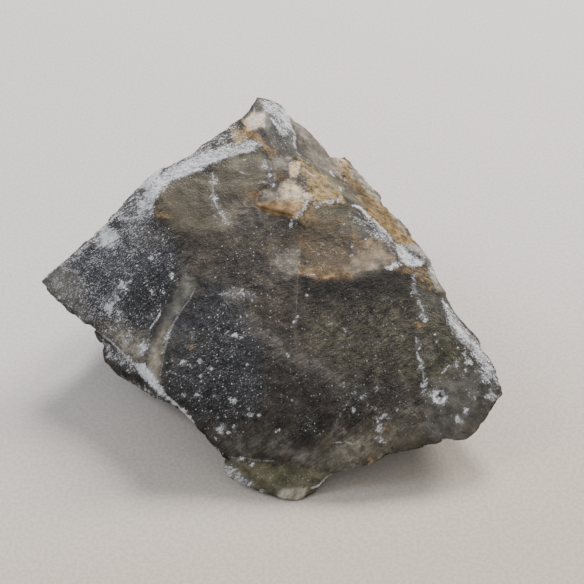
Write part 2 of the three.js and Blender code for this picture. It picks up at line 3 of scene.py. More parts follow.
import bpy
import numpy as np
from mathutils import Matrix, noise


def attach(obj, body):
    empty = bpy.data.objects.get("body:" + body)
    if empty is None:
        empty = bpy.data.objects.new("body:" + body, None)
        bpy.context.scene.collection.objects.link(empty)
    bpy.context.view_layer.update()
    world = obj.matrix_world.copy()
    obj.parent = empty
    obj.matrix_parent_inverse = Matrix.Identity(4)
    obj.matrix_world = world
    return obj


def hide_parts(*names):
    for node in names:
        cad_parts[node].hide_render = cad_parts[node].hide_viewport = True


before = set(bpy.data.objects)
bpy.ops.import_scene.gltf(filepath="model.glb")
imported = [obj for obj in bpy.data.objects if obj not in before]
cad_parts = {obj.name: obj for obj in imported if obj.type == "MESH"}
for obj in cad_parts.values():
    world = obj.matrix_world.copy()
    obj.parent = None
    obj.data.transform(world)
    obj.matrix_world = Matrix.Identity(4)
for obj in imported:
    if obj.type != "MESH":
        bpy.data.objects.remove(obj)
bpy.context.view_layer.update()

# The aragonite specimen, dressed. The CAD block's own faces are split finer, smoothed between its
# sharp edges and roughened, and each point is marked with what the stone is like there: how olive,
# honey-brown or powdery it is. Some marks are painted shade and light instead: shade under the
# scar's lip, under the plate, under the left face's edge, in the crust's crease and in hollows, and
# highlights on lumps and the plate's rim. One material turns those marks into colour, gloss and
# bump, and paints glints.
#
# Marks are drawn on a plan: the block seen square on to its large broken face, from above and in
# front. A plan unit is 0.22 mm at the face's middle, x runs to the right and y runs down. The marks
# stay on the stone, and fade out where it turns away from the plan.

NODE = "aragonite_block"
MM = 0.001

# ---------------------------------------------------------------- the view that the plan is seen in

FACE_LEAN = math.radians(45)  # how far the broken face leans back, and how far the view looks down
FACE_HEIGHT = 30.3  # mm, height of the face's middle
VIEW_DISTANCE = 260.0  # mm, from the face's middle
PLAN_SIZE = 584  # plan units, width and height
PLAN_UNIT = 0.22  # mm at the face's middle

TOWARDS_VIEW = np.array([0.0, -math.cos(FACE_LEAN), math.sin(FACE_LEAN)])
UP_FACE = np.array([0.0, math.sin(FACE_LEAN), math.cos(FACE_LEAN)])
FACE_MIDDLE = np.array([0.0, 0.0, FACE_HEIGHT])


def plan_of(points):
    """Where points in millimetres lie on the plan."""
    away = points - FACE_MIDDLE
    shrink = VIEW_DISTANCE / (VIEW_DISTANCE - away @ TOWARDS_VIEW)
    across = away[:, 0] * shrink / PLAN_UNIT
    up = (away @ UP_FACE) * shrink / PLAN_UNIT
    return np.stack([PLAN_SIZE / 2 + across, PLAN_SIZE / 2 - up], axis=1)


# ---------------------------------------------------------------- marks on the plan

# Outlines and lines are written as SVG writes them, "x,y x,y ...", in plan units.

# Outlines that more than one kind of mark uses.
APEX_FACET = "258,110 267,110 273,121 268,133 260,128"
TOE_TIP = "276,494 286,489 308,486 304,497 297,502 280,500"

# Zones of one kind of stone, or of painted shade or light where noted: outline, half width of its
# soft edge, strength.
ZONES = {
    "blue": [
        ("40,282 60,263 98,235 130,213 155,222 172,246 176,268 168,300 155,330 150,348 138,340 "
         "112,322 84,318", 18, 1.0),
        ("160,320 200,284 226,284 248,312 268,340 270,380 256,412 214,428 190,420 "
         "160,384", 26, 0.8),
    ],
    "slate": [
        ("206,422 296,430 302,460 222,458", 12, 0.42),
        ("290,450 350,448 352,474 292,468", 8, 0.5),
        ("384,404 412,404 412,442 386,440", 9, 0.5),
        ("166,328 204,330 212,350 192,370 168,368", 9, 0.34),
        ("426,376 452,366 486,366 506,390 476,446 420,438", 12, 0.72),
        ("186,266 195,286 178,312 164,330 168,308", 7, 0.72),
        ("100,318 146,330 146,362 122,350", 12, 0.45),
        ("240,302 272,326 304,352 348,370 372,394 354,402 318,384 288,368 250,336", 14, 0.4),
        ("42,275 64,262 84,280 92,322 70,316 44,288", 12, 0.7),
        ("268,122 284,134 293,133 295,151 298,158 284,158 268,142", 4, 0.46),
        ("240,120 248,104 258,96 266,100 264,111 250,116", 3, 0.52),
        (APEX_FACET, 3, 0.9),
        ("280,104 292,110 294,132 284,122", 4, 0.4),
        ("334,376 362,384 366,402 342,394", 8, 0.4),
        ("222,284 244,286 248,304 230,304", 8, 0.4),
    ],
    "olive": [
        ("156,190 176,179 214,170 232,156 262,150 270,164 262,184 250,200 232,226 200,234 172,228 "
         "156,212", 9, 0.9),
        ("100,316 150,330 151,351 141,372 120,356 98,334", 16, 0.55),
        ("160,326 172,322 166,350 159,384 146,376 151,351", 4, 1.0),
        ("302,415 345,424 400,400 440,425 452,440 402,456 356,469 334,474 306,458", 18, 0.6),
        ("305,300 330,285 412,282 420,330 418,390 380,372 345,360 304,360", 20, 0.5),
        ("322,176 334,178 342,194 332,198", 5, 0.6),
        ("206,232 240,226 292,222 296,244 240,258 206,252", 12, 0.3),
    ],
    "green": [
        ("222,460 278,463 320,470 334,476 310,494 262,496 226,474", 6, 1.0),
        ("417,285 446,292 470,334 460,372 432,385 420,350", 14, 0.75),
        ("314,203 354,206 368,220 358,234 322,232 304,220", 12, 0.8),
        ("326,170 340,180 366,212 356,208 334,184", 4, 0.5),
        ("320,160 334,176 362,204 376,222 366,218 340,192 318,172", 3, 0.9),
        ("402,244 414,242 426,256 424,262 410,254", 4, 0.7),
        ("226,156 262,152 262,164 228,170", 5, 0.55),
        ("312,300 410,288 418,384 330,374", 20, 0.4),
    ],
    "pale": [
        ("280,254 298,250 298,272 288,272 272,262", 9, 0.58),
        ("246,284 268,276 298,274 268,287", 6, 0.3),
        ("150,340 166,330 160,380 148,374", 6, 0.6),
        ("112,332 146,340 146,366 124,350", 8, 0.4),
        ("294,116 318,138 342,172 330,174 304,152", 7, 0.52),
        (TOE_TIP, 3, 1.0),
        ("372,238 388,242 398,262 372,272 352,276 346,266 358,250", 12, 0.55),
        ("257,197 267,190 276,192 278,202 268,206 255,205", 3.5, 0.5),
        ("42,275 54,270 58,284 64,304 88,326 70,316 44,288", 8, 0.3),
        ("428,262 436,266 446,292 438,292 430,276", 3, 0.7),
        ("332,428 388,436 384,458 344,470", 14, 0.4),
        ("284,104 300,118 316,142 304,140 292,124", 5, 0.75),
        ("275,156 291,158 289,168 276,168", 4, 0.75),
        ("348,163 358,168 372,182 384,204 378,202 364,188 350,176", 3, 1.0),
        ("384,204 396,216 410,236 404,234 390,218", 2, 0.6),
        ("126,224 150,220 168,240 156,256 132,244", 10, 0.22),
        ("404,244 418,246 426,258 414,254", 3, 0.6),
    ],
    "honey": [
        ("302,234 318,232 338,240 354,256 350,274 326,278 302,268", 18, 0.9),
        ("302,208 350,210 362,262 304,268", 14, 0.45),
        ("350,236 386,240 396,262 352,274", 10, 0.6),
        ("276,168 289,172 286,186 273,184", 7, 0.62),
        ("308,134 330,154 346,176 332,174 312,154", 8, 0.7),
        ("258,186 282,184 278,192 262,191", 4, 0.5),
        ("262,240 290,236 290,252 262,256", 12, 0.25),
        ("298,122 316,128 326,150 304,150", 7, 0.42),
        ("248,290 292,288 290,322 262,340 250,316", 14, 0.16),
    ],
    "orange": [
        ("299,264 314,271 338,274 358,272 352,280 328,280 300,275", 5, 0.6),
        ("390,267 408,266 424,267 428,276 420,282 410,274 392,272", 5, 0.5),
        ("243,128 256,133 266,142 276,152 274,157 262,148 248,138", 4, 0.7),
        # the plate's orange rim, drawn down over the wall under it as painted light on its shade
        ("256,203 290,201 303,205 299,219 276,216 258,210", 3, 0.95),
        ("243,190 261,190 262,206 246,204", 6, 0.4),
        ("299,206 320,206 317,224 300,226", 5, 0.34),
        ("354,236 390,240 396,262 356,268", 10, 0.4),
        ("301,214 308,214 306,232 300,244", 6, 0.3),
        ("154,210 174,215 170,220 156,216", 5, 0.5),
        ("417,323 432,324 428,329 416,328", 3, 0.42),
        ("384,424 394,426 392,434 384,432", 5, 0.34),
        ("184,345 194,346 194,351 185,350", 3, 0.42),
        ("366,456 372,456 374,464 367,465", 3, 0.45),
        ("266,328 300,332 296,352 268,350", 12, 0.08),
        ("274,440 292,440 290,452 274,450", 10, 0.08),
    ],
    "cream": [
        ("278,202 279,190 285,182 294,182 306,190 303,199 298,204 288,203", 5, 0.8),
        ("299,189 316,192 315,203 300,205", 4, 0.5),
        ("289,162 300,161 300,170 298,178 290,177", 1.5, 1.0),
        ("242,120 256,113 260,122 258,131 246,130", 2.5, 1.0),
        ("256,114 263,113 264,128 258,131", 3, 0.45),
        ("336,158 346,162 350,168 340,166", 2, 0.6),
    ],
    "gold": [
        ("306,176 316,172 327,180 338,192 340,202 322,203 306,195", 7, 1.0),
        ("298,158 312,164 318,174 304,178", 6, 0.75),
        ("230,128 244,126 248,140 234,144", 4, 0.8),
        ("272,150 278,152 276,160 270,158", 3, 0.6),
    ],
    "ochre": [
        ("329,154 345,152 358,164 372,184 392,212 414,236 422,256 408,250 388,233 374,218 356,198 "
         "342,178", 4, 1.0),
        ("420,268 436,276 440,292 430,292 420,282", 6, 0.45),
    ],
    # Dark stone, and painted shade: under the scar's lip, under the plate, in the gap and on the
    # ledge under the left face, and in the crust's crease.
    "dark": [
        ("262,189 282,188 280,182 270,185", 3, 0.8),
        # painted shade under the plate's overhang
        ("262,212 284,216 296,218 290,226 266,220", 8, 0.2),
        # painted shade: the dark band under the scar's lip
        ("299,277 318,282 343,284 362,278 388,271 414,278 404,296 340,302 300,296", 7, 0.55),
        ("292,410 322,412 330,430 312,446 292,436", 9, 0.75),
        ("190,380 230,385 244,420 208,420", 14, 0.3),
        # painted shade in the gap under the left face's overhanging edge
        ("96,333 130,364 128,368 100,344", 2, 0.8),
        # painted shade on the ledge's underside
        ("141,388 156,399 171,404 170,409 140,393", 2, 0.7),
        ("142,300 156,284 160,300 150,318 140,314", 8, 0.6),
        # painted shade in the crust's crease
        ("344,180 350,182 366,198 372,208 364,204 352,194", 3, 0.45),
    ],
}

# Lighter (over 0) and darker patches: outline, half width of its soft edge, amount. Some are painted
# shade and painted highlights: shade under the scar's lip and in the crust's crease, highlights on
# lump tops, and light on the plate's rim. The lines have a half width of their own in its place.
TONE_AND_LIGHT_ZONES = [
    # painted shade under the scar's lip
    ("300,276 410,276 408,312 340,322 300,312", 14, -0.5),
    ("306,376 352,382 398,402 386,424 330,436 300,430", 16, -0.22),
    ("206,300 240,320 262,372 240,410 186,388 172,340", 20, -0.16),
    ("158,300 196,296 170,384 150,374", 6, 0.14),
    ("244,304 330,304 336,420 252,410", 20, 0.14),
    ("424,300 446,295 470,340 486,400 440,430 424,380", 12, -0.08),
    ("248,114 264,112 268,126 252,130", 4, 0.2),
    ("272,132 290,134 294,152 280,156", 4, -0.3),
    ("298,118 318,122 326,150 304,150", 7, -0.12),
    ("354,238 388,240 394,262 356,266", 8, -0.08),
    ("222,432 292,442 300,460 226,458", 8, 0.3),
    ("292,452 340,452 340,474 292,466", 7, 0.38),
    ("170,324 196,330 194,352 170,350", 7, 0.34),
    ("256,270 294,272 292,300 258,300", 8, 0.26),
    ("240,250 270,248 272,276 242,278", 8, 0.22),
    ("298,188 322,192 320,222 300,222", 4, 0.24),
    # painted light: the plate's rim and the wall under it lifted as if glowing
    ("256,203 290,202 303,205 299,216 276,214 258,210", 3, 0.24),
    (TOE_TIP, 3, 0.35),
    ("104,328 122,332 134,362 108,350", 6, 0.16),
    ("136,272 176,266 174,300 140,304", 8, -0.24),
    ("318,316 410,310 410,374 330,370", 16, -0.08),
    ("320,436 400,420 448,440 350,472", 16, 0.34),
    ("44,270 96,242 110,262 60,300", 14, 0.26),
    ("118,222 148,214 166,236 140,256", 12, 0.2),
    ("130,280 158,276 160,330 130,330", 12, -0.3),
    ("416,382 452,378 496,396 462,436 414,436", 14, 0.1),
    ("165,182 250,158 246,210 170,220", 14, -0.18),
    ("300,204 352,206 360,262 304,268", 10, -0.2),
    ("226,462 320,470 306,492 232,480", 8, 0.3),
    ("100,325 150,335 150,365 122,352", 10, 0.18),
    ("340,320 405,320 405,380 345,380", 16, -0.16),
    ("60,270 130,225 160,270 150,320 90,310", 16, 0.36),
    # painted shade in the crust's crease
    ("344,176 356,184 372,206 362,204 348,192", 4, -0.35),
    # painted highlights on the tops of the crust's lumps
    ("332,156 344,156 346,166 334,168", 4, 0.15),
    ("386,222 400,230 404,242 392,236", 4, 0.16),
    ("420,285 446,295 462,340 440,360 424,350", 12, -0.36),
    ("320,206 352,210 344,226 316,222", 8, 0.08),
    ("303,236 338,236 342,264 304,266", 8, -0.5),
    ("440,418 466,418 462,442 440,442", 6, 0.28),
    ("410,280 444,290 444,314 424,312", 6, -0.3),
    ("350,384 376,386 376,406 352,404", 6, 0.2),
    (APEX_FACET, 3, 0.7),
    ("100,322 146,334 144,362 122,350", 10, 0.14),
    # painted shade under the right end of the scar's lip
    ("384,267 426,266 428,284 392,277", 5, -0.32),
    ("302,130 320,140 346,176 316,160", 8, -0.06),
    ("302,164 316,168 338,192 338,203 310,196", 6, -0.08),
    ("302,262 352,268 352,284 300,276", 6, 0.1),
    ("150,170 200,150 244,138 262,146 200,172 156,200 140,210", 8, 0.2),
    ("200,216 240,214 236,240 204,240", 10, -0.1),
    ("148,352 162,352 158,380 148,374", 4, 0.2),
]
TONE_LINES = [
    ("196,256 214,272 230,292 248,314", 9, 0.34),
    ("248,314 270,336 302,362 342,378 362,394 380,418 388,430", 10, 0.34),
    ("298,244 297,300 295,320 298,360 297,400 294,430", 2.6, 0.34),
    ("300,340 320,336 350,350", 8, 0.12),
    ("398,332 404,372 400,402", 5, 0.12),
    ("190,266 186,290 176,312", 4, 0.3),
]

# White powder and bruises: outline, half width of its soft edge, share of the stone hidden.
POWDER_ZONES = [
    ("156,175 175,164 197,153 222,147 244,140 260,144 254,149 240,151 222,158 205,167 186,174 "
     "171,181 162,189 155,202 152,216 142,213 136,206 145,190", 5, 0.86),
    ("114,216 146,184 154,200 152,219 128,224", 8, 0.5),
    ("156,170 190,152 236,120 242,138 200,152 172,167", 7, 0.35),
    ("134,363 144,364 154,374 161,386 164,398 156,392 146,382 138,373", 3, 1.15),
    ("101,338 116,346 136,362 143,375 126,371 106,358", 4, 0.46),
    ("443,300 458,318 472,335 487,352 497,368 501,384 494,384 483,368 468,350 458,339 "
     "449,322", 5, 0.66),
    ("395,243 402,246 424,262 420,266 407,266 400,262", 2.5, 0.9),
    ("260,99 276,101 290,110 292,130 286,126 274,116 264,112", 4, 0.66),
    ("219,462 232,465 240,473 254,485 246,493 227,485", 4, 0.66),
    ("246,117 256,113 266,114 264,127 250,129", 3, 0.42),
    ("134,188 144,172 160,160 163,174 148,190", 3, 0.95),
    ("406,246 418,244 428,258 420,262", 3, 0.4),
    ("298,160 314,166 330,180 340,202 322,203 300,190", 5, 0.12),
    ("430,448 432,454 418,454 419,449", 2, 0.5),
    ("96,226 104,222 119,234 114,248 98,247", 6, 0.95),
    ("58,268 98,228 118,206 138,182 148,176 138,194 122,212 102,233 76,260", 4, 0.5),
    ("428,262 437,268 442,282 436,280 430,272", 3, 0.5),
    ("276,124 286,120 292,130 286,137 278,132", 4, 0.4),
    ("120,222 140,216 150,226 140,240 124,238", 9, 0.18),
    ("350,214 362,220 378,226 392,238 396,254 384,244 370,234 356,226", 6, 0.34),
]

# White veins, crests and scratches that are soft: points along the line, half width, share.
POWDER_LINES = [
    ("213,175 213,185 212,196 216,205 221,214 228,222", 3.6, 0.3),
    ("415,275 414,285 417,295 420,303 424,310 424,318", 3.6, 0.3),
    ("415,336 418,346 417,356 420,362 423,374 424,386", 3.0, 0.3),
    ("308,196 305,206 297,217", 2.6, 0.48),
    ("286,197 296,192 304,191", 2.4, 0.5),
    ("396,265 386,267", 2.6, 0.5),
    ("317,205 331,201 342,199", 2.4, 0.42),
    ("265,166 270,173 272,184", 3.2, 0.6),
    ("102,305 112,297 128,284", 3.2, 0.36),
    ("254,296 244,293 222,294", 3.6, 0.3),
    ("443,372 450,366 458,364", 2.4, 0.4),
    ("376,417 379,426 380,436", 3.0, 0.35),
    ("330,437 352,392 380,412", 1.6, 0.2),
    ("160,392 172,401 181,409 192,424", 2.2, 0.7),
    ("120,376 140,388 158,400", 2.6, 0.35),
]

# White spots: places, radius, share.
POWDER_SPOTS = [
    ("492,394 489,377", 7.0, 0.9), ("226,222", 7.0, 0.3), ("109,308", 6.0, 1.25),
    ("144,347", 5.2, 1.2), ("244,142", 5.0, 0.7), ("422,314", 5.0, 0.4), ("474,396", 5.0, 0.3),
    ("223,427", 4.4, 0.9), ("116,298", 4.2, 1.0), ("123,286", 4.0, 1.2), ("469,362", 4.0, 0.85),
    ("286,112", 4.0, 0.6), ("425,392", 4.0, 0.35), ("200,362 183,363 396,264", 3.4, 0.8),
    ("196,395", 3.4, 0.75), ("234,427", 3.4, 0.6), ("129,333", 3.4, 0.55),
    ("384,417 480,372", 3.4, 0.5), ("459,420", 3.2, 0.85), ("236,127", 3.2, 0.6),
    ("455,444", 3.2, 0.5), ("250,415", 3.0, 0.9), ("235,335 465,413", 3.0, 0.85),
    ("418,248", 3.0, 0.55), ("261,492 258,146 340,188", 3.0, 0.5), ("90,318", 3.0, 0.45),
    ("402,336 60,296 414,262", 3.0, 0.4), ("376,388", 3.0, 0.35), ("364,395", 3.0, 0.3),
    ("151,258", 2.8, 0.6), ("294,323", 2.6, 0.95), ("141,250 258,415 241,459", 2.6, 0.8),
    ("235,400", 2.6, 0.75), ("235,135", 2.6, 0.5), ("184,396", 2.4, 0.8),
    ("119,319 235,291 243,293 190,366 382,441 80,318 330,172", 2.4, 0.6), ("397,410", 2.4, 0.5),
    ("228,433", 2.2, 1.0), ("172,277", 2.2, 0.9), ("211,369 200,376 215,438 208,441", 2.2, 0.8),
    ("168,269 229,398 332,324", 2.2, 0.7), ("352,246", 2.2, 0.6), ("435,335", 2.2, 0.5),
    ("252,466", 2.0, 1.0), ("354,410", 2.0, 0.9), ("172,360 352,256", 2.0, 0.6),
    ("436,340", 2.0, 0.5), ("163,292 178,262", 2.0, 0.4), ("291,225", 1.8, 1.0),
    ("288,356 214,396 248,409", 1.8, 0.8), ("292,220", 1.8, 0.7), ("345,330", 1.8, 0.5),
    ("231,352 247,365", 1.6, 0.9), ("151,291", 1.6, 0.8), ("344,224", 1.6, 0.6),
    ("318,254 245,465", 1.6, 0.5), ("276,432", 1.5, 0.8), ("237,324", 1.5, 0.7),
    ("306,295 309,289", 1.4, 0.7), ("366,239 292,400", 1.4, 0.6), ("232,356", 1.2, 0.9),
    ("458,348", 1.2, 0.8), ("265,339", 1.1, 0.8),
]

# Thin crisp lines, white veins, and dark cracks and painted lines of shade: points, half width.
WHITE_THREADS = [
    ("270,116 275,123 280,130 287,137", 0.9),
    ("275,112 280,122 284,128", 0.5),
    ("288,119 292,126 295,134 295,149", 0.8),
    ("254,104 255,114", 0.45),
    ("350,205 359,207 368,216 377,223 386,232 394,243", 0.9),
    ("330,171 336,178", 0.5),
    ("333,168 342,180", 0.4),
    ("301,167 308,173 318,180", 0.45),
    ("256,184 264,182 272,184", 0.5),
    ("238,171 243,173 250,173", 0.5),
    ("218,457 228,457 241,459 262,461 277,461", 0.42),
    ("330,443 345,442 357,445", 0.45),
    ("334,473 326,478 318,486 308,489", 0.7),
    ("161,309 158,317 153,324 149,331", 0.8),
    ("101,334 112,343 124,355 136,366", 0.7),
    ("160,386 166,396 176,404 184,413 192,424", 0.8),
    ("196,286 190,299 182,309 174,321 168,336 164,354 159,378", 0.36),
    ("184,271 180,286 172,300", 0.18),
    ("167,238 174,247 184,252 192,254 203,258 208,268", 0.24),
    ("192,254 187,267 185,279", 0.22),
    ("299,240 300,256 298,273 297,298 295,322", 0.24),
    ("213,173 213,180", 0.7),
    ("212,182 213,190 212,197", 0.42),
    ("213,198 216,205 219,210", 0.55),
    ("219,209 222,215 228,222", 0.45),
    ("414,273 413,283", 0.4),
    ("414,286 417,295", 0.6),
    ("418,299 421,305 424,312", 0.5),
    ("415,334 417,346", 0.45),
    ("416,351 418,357 421,364", 0.95),
    ("421,366 423,374 424,384", 0.55),
    ("376,415 378,424 381,436", 0.5),
    ("308,194 306,204 298,216", 0.5),
    ("162,186 172,178 186,173 204,168", 1.3),
    ("200,165 220,159 240,152 256,149", 1.1),
    ("178,169 196,161 214,153", 1.1),
    ("150,210 154,196 162,184", 1.1),
    ("42,288 50,300 62,309 78,318 92,328", 0.5),
    ("240,147 246,152 252,152", 0.6),
    ("155,174 170,163 186,156 200,149", 0.5),
    ("305,490 296,500 284,502", 0.4),
    ("440,298 452,314 466,330 480,345 492,362", 0.4),
    ("384,204 390,214 400,226 408,236", 0.4),
    ("386,424 381,434 380,446", 0.45),
    ("330,437 340,414 356,392", 0.25),
    ("420,420 410,410 398,398", 0.3),
    ("278,202 277,194 280,187 285,181 292,180", 0.3),
    ("289,178 288,170 289,162 300,161", 0.3),
    ("448,316 458,330 470,342 482,356 490,370", 0.7),
    ("352,216 364,221 376,227 388,240", 0.5),
]
CRACKS_AND_SHADE_LINES = [
    ("395,244 397,254 400,262", 0.7),
    ("391,217 397,224 404,232", 0.5),
    ("401,246 412,255 424,264", 0.35),
    ("425,262 436,272 442,288", 0.5),
    ("448,304 466,325 482,343 492,360", 0.5),
    ("155,177 166,170 180,162", 0.5),
    ("172,168 190,160 206,154", 0.4),
    # painted shade in the gap under the left face's overhanging edge
    ("86,323 104,338 118,351 130,361", 0.8),
    ("228,300 226,292 230,288", 0.2),
    # painted shade: the dark line under the scar's lip
    ("300,276 318,282 335,283 352,279 366,274", 0.45),
    ("399,262 408,268 420,266", 0.3),
]

# Dark pores, painted as the shade in small holes: places, radius.
DARK_PORES = [
    ("130,318", 1.6), ("410,352 388,354 335,363 333,247", 1.0),
    ("407,365 118,319 362,462 464,432", 0.8), ("352,404 361,220 362,246 398,368", 0.7),
    ("392,448", 0.6),
]

# How densely the stone is sprinkled with light sugary grains. In this and in what follows, a
# zone is its outline, the half width of its soft edge, and its strength.
SUGAR_ZONES = [
    ("40,282 98,235 130,213 150,222 140,262 130,310 145,360 100,335", 12, 1.15),
    ("130,215 170,225 180,270 160,320 145,360 130,320", 10, 0.72),
    ("160,380 190,310 230,284 262,330 270,400 240,440 200,430", 26, 0.64),
    ("200,300 250,270 296,300 296,330 270,350", 16, 0.35),
    ("260,330 330,290 410,290 420,420 300,440 250,420", 24, 0.3),
    ("292,408 330,414 326,440 290,438", 10, 0.45),
    ("420,330 450,330 500,390 460,440 400,440", 14, 0.3),
    ("210,235 290,215 298,270 240,290 200,280", 16, 0.35),
    ("156,170 236,122 262,150 222,163 150,200", 8, 0.7),
    ("296,165 330,178 352,204 300,200", 6, 0.25),
    ("266,138 292,134 296,156 276,152", 5, 0.5),
    ("220,462 330,470 300,500", 10, 0.35),
]

# Where fine pale threads curl through the stone.
CURL_ZONES = [
    ("302,240 340,236 352,256 336,272 302,270", 8, 1.0),
    ("320,205 352,206 360,222 320,226", 8, 0.45),
    ("200,176 262,156 296,214 290,240 204,216", 16, 0.5),
    ("230,278 262,272 294,292 240,304", 12, 0.4),
    ("230,460 330,470 300,496", 10, 0.4),
    ("370,410 410,400 430,420 376,450", 10, 0.4),
]

# Where the stone is clear and smooth, and not sandy.
CLEAR_ZONES = [
    ("268,246 300,244 300,276 272,276", 6, 0.7),
    ("156,190 200,165 262,148 292,160 296,214 232,230 172,228", 12, 1.0),
    ("300,206 352,206 396,250 392,266 352,278 302,272", 8, 0.9),
    ("292,110 318,130 345,170 366,210 340,195 300,156", 6, 1.0),
    ("240,120 258,96 292,108 298,158 270,150", 6, 0.8),
    ("256,192 280,180 300,160 340,190 340,204 300,206 262,208", 6, 0.75),
    ("424,370 486,362 506,392 474,446 418,440", 12, 1.0),
    ("420,285 446,295 466,340 430,380", 12, 0.8),
    ("184,262 198,284 168,340 158,384 148,374 152,340", 5, 0.9),
    ("100,318 150,332 144,368 120,356", 12, 0.6),
    ("42,275 64,262 84,290 92,326 44,290", 12, 0.8),
    ("222,460 334,474 304,502 226,476", 6, 0.8),
    ("330,436 400,428 440,440 352,472 330,474", 12, 0.5),
]

# Where streaks run down to the right, along the crest, and not up to the right.
CREST_SIDE = [
    ("262,95 292,104 350,150 430,260 510,380 500,410 470,400 436,330 400,270 350,212 310,172 "
     "290,160 270,130", 8, 1.0),
]

# Rims whose marks carry on round the edge, and a lip without worn powder.
WRAP_ZONES = [
    ("214,456 234,463 244,474 256,487 246,498 218,486", 3, 1.0),
    ("44,276 96,222 118,200 134,180 158,160 200,140 238,112 246,92 262,88 270,98 252,124 206,156 "
     "168,176 144,196 128,214 104,238 56,286", 3, 1.0),
]
UNWORN_ZONES = [("336,262 392,260 392,286 336,290", 4, 1.0)]

# The pit: its place and radii on the plan, and the shares of powder and of painted shade in it, whose
# dark ring is painted shade in the hollow.
PIT = {
    "at": (439.2, 397.4), "hole": 3.0, "ring": 5.4, "ring_width": 2.2, "halo": 12.0,
    "hole_powder": 0.3, "ring_powder": 1.05, "halo_powder": 0.45,
    "dark": 0.62, "shade_ring": 2.25, "shade_width": 2.1,
}


# ---------------------------------------------------------------- measuring on the plan

THREAD_REACH = (4.0, 7.0)  # plan units from a thread over which its mark fades out
THREAD_TIP = (-1.0, 4.0)  # plan units from a thread's end over which it narrows


def smooth_step(value, low, high):
    """0 below the low value, 1 above the high one, and a smooth curve between them."""
    share = np.clip((value - low) / (high - low), 0.0, 1.0)
    return share * share * (3 - 2 * share)


def fade_out(distance, near, far):
    return 1 - smooth_step(distance, near, far)


def gap_from(plan, at):
    """Distance of each plan point from one place."""
    return np.hypot(*(plan - at).T)


def corners_of(path):
    """The places that an outline, a line or a group of spots is written with."""
    return np.array([place.split(",") for place in path.split()], float)


def each_place(groups):
    """Every place in groups of spots, with its group's values."""
    for path, *values in groups:
        for at in corners_of(path):
            yield at, *values


def beside_path(plan, corners):
    """How far each plan point is beside a path, and how far along it, and the path's length.

    The distance is negative on one side of the path, so it stays true between mesh points that
    are wider apart than a thin line on it.
    """
    steps = np.diff(corners, axis=0)
    lengths = np.hypot(*steps.T)
    run = np.concatenate([[0.0], np.cumsum(lengths)])
    beside = np.full(len(plan), np.inf)
    place = np.zeros(len(plan))
    for start, step, length, before in zip(corners, steps, lengths, run):
        away = plan - start
        along = away @ step / length
        across = (away[:, 0] * step[1] - away[:, 1] * step[0]) / length
        beyond = np.maximum(np.maximum(-along, along - length), 0.0)
        gap = np.hypot(across, beyond)
        closer = gap < np.abs(beside)
        beside = np.where(closer, np.copysign(gap, across), beside)
        place = np.where(closer, before + along, place)
    return beside, place, run[-1]


def distance_from(plan, corners):
    return np.abs(beside_path(plan, corners)[0])


def depth_inside(plan, outline):
    """Distance of each plan point from an outline: positive inside it, negative outside."""
    corners = corners_of(outline)
    inside = np.zeros(len(plan), bool)
    for (x0, y0), (x1, y1) in zip(corners, np.roll(corners, -1, axis=0)):
        if y0 == y1:
            continue
        crosses = (y0 > plan[:, 1]) != (y1 > plan[:, 1])
        inside ^= crosses & (plan[:, 0] < x0 + (plan[:, 1] - y0) * (x1 - x0) / (y1 - y0))
    distance = distance_from(plan, np.vstack([corners, corners[:1]]))
    return np.where(inside, distance, -distance)


def inside_share(plan, outline, soft):
    """1 inside an outline and 0 outside it, with a soft edge."""
    return smooth_step(depth_inside(plan, outline), -soft, soft)


def zone_share(plan, zones):
    """The strongest of several soft-edged zones at each plan point."""
    share = np.zeros(len(plan))
    for outline, soft, strength in zones:
        share = np.maximum(share, strength * inside_share(plan, outline, soft))
    return share


def thread_marks(plan, threads):
    """Signed distance from the nearest of several thin lines, and its width, 0 away from all."""
    side = np.full(len(plan), THREAD_REACH[1])
    width = np.zeros(len(plan))
    for line, half_width in threads:
        beside, place, length = beside_path(plan, corners_of(line))
        distance = np.abs(beside)
        tip = smooth_step(np.minimum(place, length - place), *THREAD_TIP)
        closest = distance < np.abs(side)
        side = np.where(closest, beside, side)
        width = np.where(closest, half_width * tip * fade_out(distance, *THREAD_REACH), width)
    return side, width


# ---------------------------------------------------------------- the block's mesh

SHARP_TURN = math.radians(24)  # a CAD edge that turns more than this stays sharp
SPACING_SHOWN = 0.72  # mm, longest mesh edge on the sides that the plan shows
SPACING_FINE = 0.42  # mm, longest mesh edge under white spots
SPACING_HIDDEN = 1.3  # mm, longest mesh edge elsewhere
SPACING_PIT = 0.3  # mm, longest mesh edge in and round the pit
SPOT_MARGIN = 1.0  # plan units round a spot that are as finely meshed as the spot
HIDDEN_FROM = [(100, -40), (300, -26), (500, -3)]  # y on the plan, mm in front of the face's middle
HALVINGS = 5  # times that the long edges are halved
SMOOTH_ROUNDS = 3  # passes that round the mesh off after each halving
BLEED = 0.86  # how much of its neighbours' mark a point takes in each pass of spread
MERGE_DECIMALS = 3  # points that agree to this many decimals of a millimetre are one
TINY = 1e-12  # keeps a vector of no length from a division by zero


def read_block(source):
    """The CAD block's points in millimetres and its triangles, with shared points merged."""
    mesh = source.data
    mesh.calc_loop_triangles()
    positions = np.empty(3 * len(mesh.vertices), np.float32)
    mesh.vertices.foreach_get("co", positions)
    corners = np.empty(3 * len(mesh.loop_triangles), np.int32)
    mesh.loop_triangles.foreach_get("vertices", corners)
    rounded = np.round(positions.reshape(-1, 3).astype(float) / MM, MERGE_DECIMALS)
    points, place = np.unique(rounded, axis=0, return_inverse=True)
    return points, place.reshape(-1)[corners].reshape(-1, 3)


